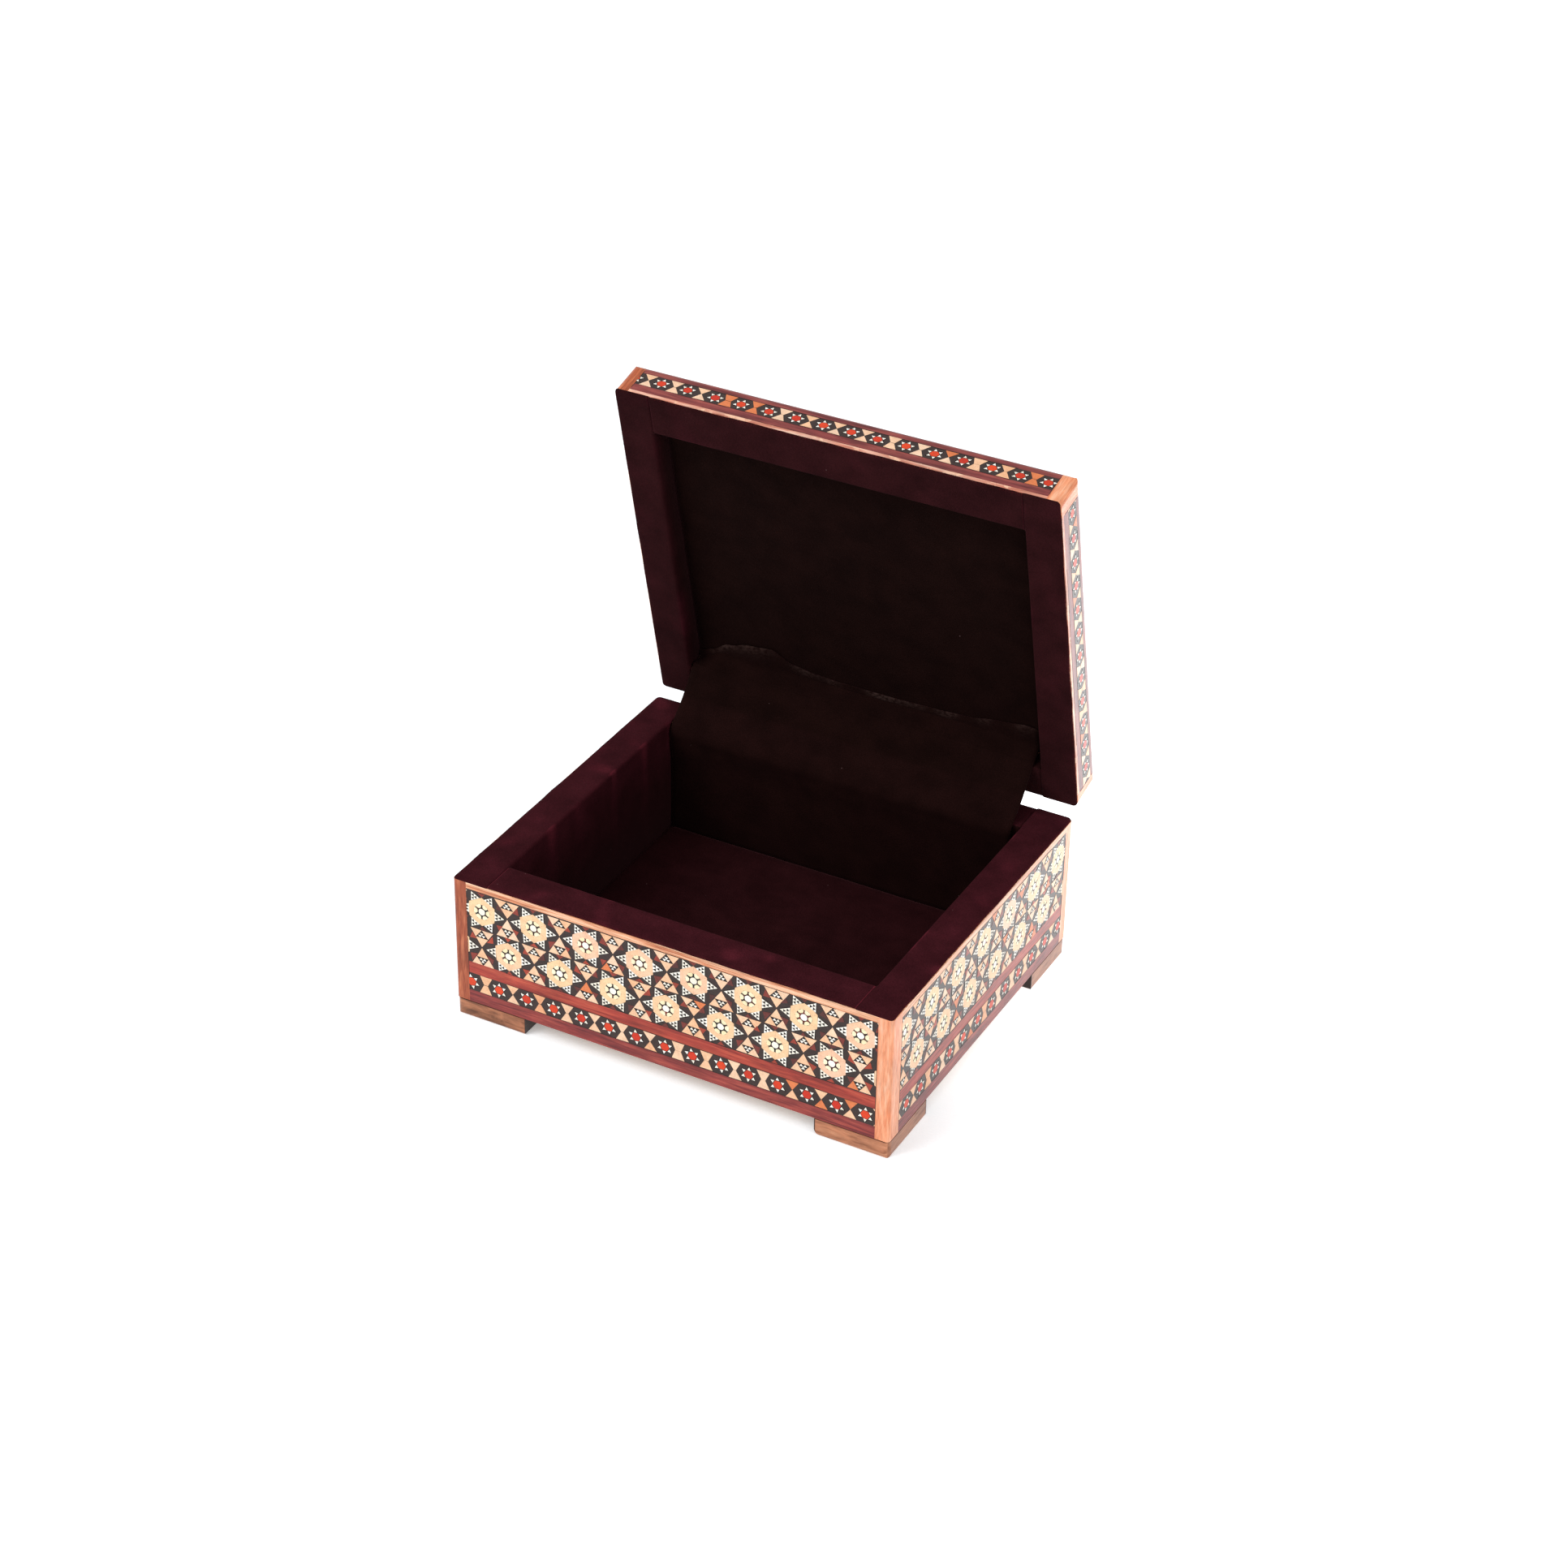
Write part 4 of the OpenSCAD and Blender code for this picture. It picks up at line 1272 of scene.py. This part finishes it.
def fringe(name, edges, body, down, seed):
    """Loose fibres of the pile along cut edges; each edge is (start, end, outward)."""
    turn = HALVES[body][1]
    rng = random.Random(seed)
    points = []
    faces = []
    for start, end, outward in edges:
        run = end - start
        along = run.normalized()
        for _ in range(int(run.length * FIBRES_PER_MM)):
            root = start + run * rng.random() - down * rng.uniform(-0.3, 0.35) - outward * FIBRE_ROOT
            length = rng.uniform(0.1, 0.26) + 0.3 * rng.random() ** 6
            lean = outward * rng.uniform(0.5, 1) + down * rng.uniform(-0.5, 0.9) + along * rng.gauss(0, 0.5)
            tip = root + lean.normalized() * length
            side = lean.cross(along).normalized() * FIBRE_R
            low = root - side * 0.5
            first = len(points)
            for point in (root + side, low + along * FIBRE_R, low - along * FIBRE_R, tip):
                points.append(turn @ (point * MM))
            for a, b, c in ((0, 2, 1), (0, 1, 3), (1, 2, 3), (2, 0, 3)):
                faces.append((first + a, first + b, first + c))
    make_piece(name, points, faces, "fuzz", body)


def rim_fringes():
    """Fibres that stand out over the outer edges of the rims, short of the rounded corners."""
    for body, (get, _, sign, _) in HALVES.items():
        low = get(f"velvet_{body}_left")[0] / MM
        high = get(f"velvet_{body}_right")[1] / MM
        z = (high.z - CLOTH_T / 2) if sign > 0 else (low.z + CLOTH_T / 2)
        ends = (low.x + RIM_CORNER_R, high.x - RIM_CORNER_R)
        edges = [(*[Vector((x, low.y + EDGE_INSET, z)) for x in ends], Vector((0, -1, 0)))]
        ends = (low.y + RIM_CORNER_R, high.y - RIM_CORNER_R)
        for x, out in ((high.x - EDGE_INSET, 1), (low.x + EDGE_INSET, -1)):
            edges.append((*[Vector((x, y, z)) for y in ends], Vector((out, 0, 0))))
        fringe(f"velvet_fringe_{body}", edges, body, Vector((0, 0, -sign)), 81 + (sign < 0))


def cover_card(name, node, step, back_z, face_z, shading_and_wear, body):
    """Velvet over a flat card; face_z(x, y, edge) is its height, edge the distance from its side."""
    low, high = HALVES[body][0](node)
    xs = steps_between(low.x / MM, high.x / MM, step)
    ys = steps_between(low.y / MM, high.y / MM, step)

    def face(x, y):
        return Vector((x, y, face_z(x, y, min(x - xs[0], xs[-1] - x, y - ys[0], ys[-1] - y))))

    top = [[face(x, y) for y in ys] for x in xs]
    under = [[Vector((x, y, back_z)) for y in ys] for x in xs]
    piece = cloth_mesh(name, top, under, always(shading_and_wear), body)
    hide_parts(node)
    return piece


def line_lid_panel():
    """The velvet-covered card inside the lid."""
    low, high = shut_box("velvet_lid_panel")

    def face_z(x, y, edge):
        sink = 0.35 * max(0, 1 - edge / 2.5) ** 2
        return low.z / MM + sink + 0.1 * ripple(x, y, 31, 14)

    piece = cover_card(
        "velvet_sheet_lid_panel", "velvet_lid_panel", 2.0, high.z / MM, face_z, PANEL_SHADING, "lid")


def line_floor():
    """The padded floor of the base, a little crowned, its edges tucked down beside the walls."""
    low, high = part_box("velvet_base_floor")

    def face_z(x, y, edge):
        tuck = 0.9 * max(0, 1 - edge / 3) ** 2.2
        wave = 0.12 * ripple(x, y, 51, 18) + 0.05 * ripple(x, y, 52, 5)
        return high.z / MM - tuck - 0.1 + wave

    piece = cover_card(
        "velvet_floor_pad", "velvet_base_floor", 1.6, low.z / MM, face_z, FLOOR_SHADING, "base")


def curve_through(points, per_span):
    """A Catmull-Rom curve through points."""
    out = []
    for i in range(len(points) - 1):
        before = points[max(i - 1, 0)]
        a = points[i]
        b = points[i + 1]
        after = points[min(i + 2, len(points) - 1)]
        for k in range(per_span):
            t = k / per_span
            out.append(0.5 * (
                2 * a + (b - before) * t + (2 * before - 5 * a + 4 * b - after) * t * t
                + (3 * a - before - 3 * b + after) * t ** 3))
    out.append(points[-1])
    return out


# The strip's painted shade on the lid and in the base, and the row where it changes
STRIP_SHADING = (0.12, 0.2)
STRIP_BEND_ROW = 35
STRIP_T = 0.4
STRIP_CLEAR = 0.22
STRIP_STEP = 1.5
STRIP_ROWS = 7
STRIP_DUST = (12, 0.12, 0.7)
# The strip's cut edge on the lid's panel, as (across the box, up the panel), and its two creases, as
# (across the box, width, depth)
STRIP_EDGE = [(-53.8, 12.8), (-50, 14.5), (-44, 18), (-37, 20), (-30, 20.8), (-24, 17.2), (-16, 16),
              (-9, 15.6), (9, 15.6), (20, 16), (30, 16.6), (40, 18.4), (48, 19.6), (52, 19.2)]
STRIP_CREASES = ((-37, 7, 0.9), (46, 5, 0.3))


def strip_edge(x):
    """How far the strip reaches up the lid's panel, cut by hand with a wave in it."""
    for (x0, s0), (x1, s1) in zip(STRIP_EDGE, STRIP_EDGE[1:]):
        if x <= x1:
            t = max(0, (x - x0) / (x1 - x0))
            return s0 + (s1 - s0) * (3 * t * t - 2 * t ** 3)
    return STRIP_EDGE[-1][1]


def hinge_strip():
    """The velvet strip from the lid's panel, over both rims and down the base's back wall."""
    low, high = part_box("velvet_hinge_strip")
    lid_rim = shut_box("velvet_lid_right")[0].z / MM
    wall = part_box("base_wall_back")[0].y / MM
    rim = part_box("velvet_base_right")[1].z / MM
    lid_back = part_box("base_star_panel_back")[1].y / MM
    half = STRIP_T / 2 + STRIP_CLEAR
    face_y = wall - half
    panel_h = shut_box("velvet_lid_panel")[0].z / MM - lid_rim - half - 0.1

    def opened(y, h):
        p = OPENED @ Vector((0, y * MM, (lid_rim + h) * MM))
        return Vector((p.y / MM, p.z / MM))

    joint = opened(face_y, 0.3)

    def line(x):
        """The strip's middle line at x: from its cut edge over the joint to the floor."""
        reach = strip_edge(x)
        crease = sum(deep * math.exp(-((x - at) / wide) ** 2) for at, wide, deep in STRIP_CREASES)
        sag = 0.7 + 0.25 * ripple(x, 0, 61, 12)
        lower = Vector((face_y - 0.9, rim - 1.2))
        bend_y = lid_back - 13.5 if reach > 15 else lid_back - reach + 2.4
        return [
            opened(lid_back - reach, panel_h + 0.1),
            opened(lid_back - reach + 1.3, panel_h - crease - 0.1),
            opened(bend_y, panel_h - 0.35 - crease * 0.5),
            opened(face_y - 0.8, 1.7),
            joint,
            (joint + lower) / 2 + Vector((0.62, -0.5)) * sag,
            lower,
            Vector((face_y - 1.1, rim - 6)),
            Vector((face_y - 0.25 + 0.1 * ripple(x, 3, 62, 20), rim - 14)),
            Vector((face_y, low.z / MM)),
        ]

    xs = steps_between(low.x / MM, high.x / MM, STRIP_STEP)
    top = []
    under = []
    for x in xs:
        points = curve_through(line(x), STRIP_ROWS)
        face = []
        back = []
        for i, p in enumerate(points):
            along = (points[min(i + 1, len(points) - 1)] - points[max(i - 1, 0)]).normalized()
            normal = Vector((along.y, -along.x))
            fuzz = 0.04 * ripple(x, i * 1.1, 63, 2.2)
            face.append(Vector((x, *(p + normal * (STRIP_T / 2 + fuzz)))))
            back.append(Vector((x, *(p - normal * STRIP_T / 2))))
        top.append(face)
        under.append(back)

    # Painted shade: darker on the lid's panel, less dark down in the base
    def shading_and_wear(i, j):
        return STRIP_SHADING[j >= STRIP_BEND_ROW]

    def dust(i, j):
        rows, least, most = STRIP_DUST
        return max(0, 1 - j / rows) * max(0, least + most * ripple(xs[i], 0, 93, 9))

    piece = cloth_mesh("velvet_sheet_hinge_strip", top, under, shading_and_wear, None, dust=dust)
    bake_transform(piece)
    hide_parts("velvet_hinge_strip")
    middle_line = curve_through(line(0), STRIP_ROWS)
    length = sum((b - a).length for a, b in zip(middle_line, middle_line[1:])) * MM


# ---- Materials of the pieces that stay as they are in the frame ----

RED_MIDDLE = tones((136, 40, 34), (174, 60, 46), (200, 86, 62))
RED_BOTTOM = tones((98, 32, 35), (144, 52, 50), (180, 80, 67))
RED_LID = tones((104, 36, 38), (140, 58, 56), (170, 84, 74))
PALE = tones((232, 138, 94), (250, 168, 126), (253, 190, 156))
EDGE = tones((214, 128, 86), (234, 162, 120), (248, 200, 164))
BROWN = tones((134, 58, 33), (174, 86, 52), (204, 118, 80))
FOOT = tones((112, 68, 44), (148, 92, 62), (184, 118, 82))
FOOT_PALE = tones((150, 92, 62), (188, 124, 90), (214, 152, 114))
LID_PALE = tones((226, 128, 84), (248, 162, 118), (252, 186, 148))
LID_BROWN = tones((148, 70, 35), (190, 94, 53), (220, 130, 82))
CORE = tones((176, 132, 90), (204, 164, 120), (226, 190, 148))
LIP = tones((196, 108, 84), (236, 162, 136), (254, 212, 190))
FOOT_WORN = tone(204, 134, 96)
EDGE_WORN = tone(252, 208, 174)
FOOT_SEAM = 0.4 * MM
# Painted shade: how dark the joint above a foot and its sides are, beside its inner ends
JOINT_SHADE = 0.8
SIDE_SHADE = 0.28
EDGE_DEPTH = (0.03 * MM, 0.25 * MM)
# The planes round the lid's top while it is shut: which corner of its box each touches, and its outward
LID_PLANES = ((1, (0, 0, 1)), (0, (0, -1, 0)), (1, (0, 1, 0)), (0, (-1, 0, 0)), (1, (1, 0, 0)))


def foot_painted_shade(tree):
    """Painted shade: 1 on the inner ends of the feet, which lie in the box's shade, less in a dark line at
    the joint above them and on their sides, then 0.
    """
    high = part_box("foot_front_left")[1]
    x, y, height = axis_sizes(tree, coordinates(tree))
    near_x = span(tree, x, FOOT_SEAM / 2 - high.x, FOOT_SEAM - high.x, 1, 0)
    near_y = span(tree, y, FOOT_SEAM / 2 - high.y, FOOT_SEAM - high.y, 1, 0)
    joint = span(tree, height, high.z - FOOT_SEAM, high.z - FOOT_SEAM / 2, 0, JOINT_SHADE)
    normal = add_node(tree, "ShaderNodeNewGeometry").outputs["Normal"]
    side = span(tree, axis_sizes(tree, normal)[0], 0.6, 0.8, 0, SIDE_SHADE)
    ends = compute(tree, "MAXIMUM", near_x, near_y)
    return compute(tree, "MAXIMUM", ends, compute(tree, "MAXIMUM", joint, side))


def depth_below(tree, outward, level):
    """How far a point lies under a plane that faces outward, given as its level along that direction."""
    node = add_node(tree, "ShaderNodeVectorMath", operation="DOT_PRODUCT")
    plug(tree, node.inputs[0], coordinates(tree))
    plug(tree, node.inputs[1], -outward)
    return compute(tree, "ADD", node.outputs["Value"], level)


def lid_edge_wear_and_highlight(tree):
    """How pale the lid's top is painted, part rubbed-off stain and part painted highlight: most on its
    rounded edges, 0 on its flat faces.
    """
    low, high = shut_box("lid_top_outer_border")
    corners = (OPENED @ low, OPENED @ high)
    depths = []
    for corner, direction in LID_PLANES:
        outward = OPENED.to_3x3() @ Vector(direction)
        depths.append(depth_below(tree, outward, corners[corner].dot(outward)))
    nearest_side = depths[1]
    for depth in depths[2:]:
        nearest_side = compute(tree, "MINIMUM", nearest_side, depth)
    rounded = span(tree, compute(tree, "MINIMUM", depths[0], nearest_side), *EDGE_DEPTH, 0, 1)
    worn = patches(tree, ALONG_X, 3, 1.5, 4, 0.6)
    return compute(tree, "MULTIPLY", rounded, span(tree, worn, 0.36, 0.6, 0.1, 0.85))


def finish_node(node, material):
    for slot in frame["nodes"][node].material_slots:
        slot.material = material


def finish_nodes():
    """Gives the pieces of the frame that stay in sight their wood or metal."""
    for side in SIDES:
        turn, lid_turn = (ALONG_X, LID_X) if side in ("front", "back") else (ALONG_Y, LID_Y)
        core = wood(f"core_{side}", turn, CORE, gloss=0.0, rough=(0.55, 0.75))
        lip = wood(f"lid_core_{side}", lid_turn, LIP, rough=(0.4, 0.6), wear=EDGE_WORN)
        finish_node(f"base_wall_{side}", core)
        finish_node(f"lid_rail_{side}", lip)
        for sheet in ("base_star_panel", "base_star_band", "lid_star_band"):
            finish_node(f"{sheet}_{side}", MATERIALS["ground"])
    for sheet in ("lid_top_star_panel", "lid_top_star_band"):
        finish_node(sheet, MATERIALS["ground"])
    board = {"gloss": 0.0, "rough": (0.6, 0.8)}
    finish_node("base_floor_board", wood("floor_board", ALONG_X, CORE, **board))
    finish_node("lid_top_board", wood("lid_board", LID_X, CORE, **board))
    left = wood("brown_corner", ALONG_Z, BROWN, streak=9, knots=0.2)
    right = wood("pale_corner", ALONG_Z, PALE, streak=9, knots=0.12)
    lid_left = wood("lid_brown_corner", LID_Z, LID_BROWN, streak=9, knots=0.15)
    lid_right = wood("lid_pale_corner", LID_Z, LID_PALE, streak=9, knots=0.15)
    for end in ("front", "back"):
        for side, post, lid_post, palette in (
            ("left", left, lid_left, FOOT), ("right", right, lid_right, FOOT_PALE),
        ):
            finish_node(f"base_corner_{end}_{side}", post)
            finish_node(f"lid_corner_{end}_{side}", lid_post)
            foot = wood(f"foot_{end}_{side}", AROUND, palette, streak=10, rough=(0.35, 0.55), knots=0.2,
                        wear=FOOT_WORN, worn=FOOT_PATCHES, painted_shade=foot_painted_shade)
            finish_node(f"foot_{end}_{side}", foot)
    finish_node("base_middle_border", wood("red_middle", AROUND, RED_MIDDLE, streak=16))
    finish_node("base_bottom_border", wood("red_bottom", AROUND, RED_BOTTOM, streak=16))
    edging = wood("edging", AROUND, EDGE, streak=20, knots=0.1, wear=EDGE_WORN, worn=EDGE_STREAKS,
                  lined=True)
    finish_node("base_rim_edging", edging)
    lid_red = wood("lid_red_border", LID_AROUND, RED_LID, streak=16)
    for node in ("lid_upper_border", "lid_lower_border", "lid_top_inner_border"):
        finish_node(node, lid_red)
    lid_top_red = wood("lid_top_red_border", LID_AROUND, RED_LID, streak=16, edge_wear_and_highlight=lid_edge_wear_and_highlight)
    finish_node("lid_top_outer_border", lid_top_red)
    for node in frame["nodes"]:
        if node.startswith("hinge_"):
            finish_node(node, MATERIALS["brass"])


# ---- The whole scene ----

make_camera()
make_light()
make_floor()
inlay_sides()
inlay_lid_top()
glue_lines()
for half_name in HALVES:
    line_velvet(half_name)
for half_name in HALVES:
    line_back_rim(half_name)
rim_fringes()
line_lid_panel()
line_floor()
hinge_strip()
finish_nodes()
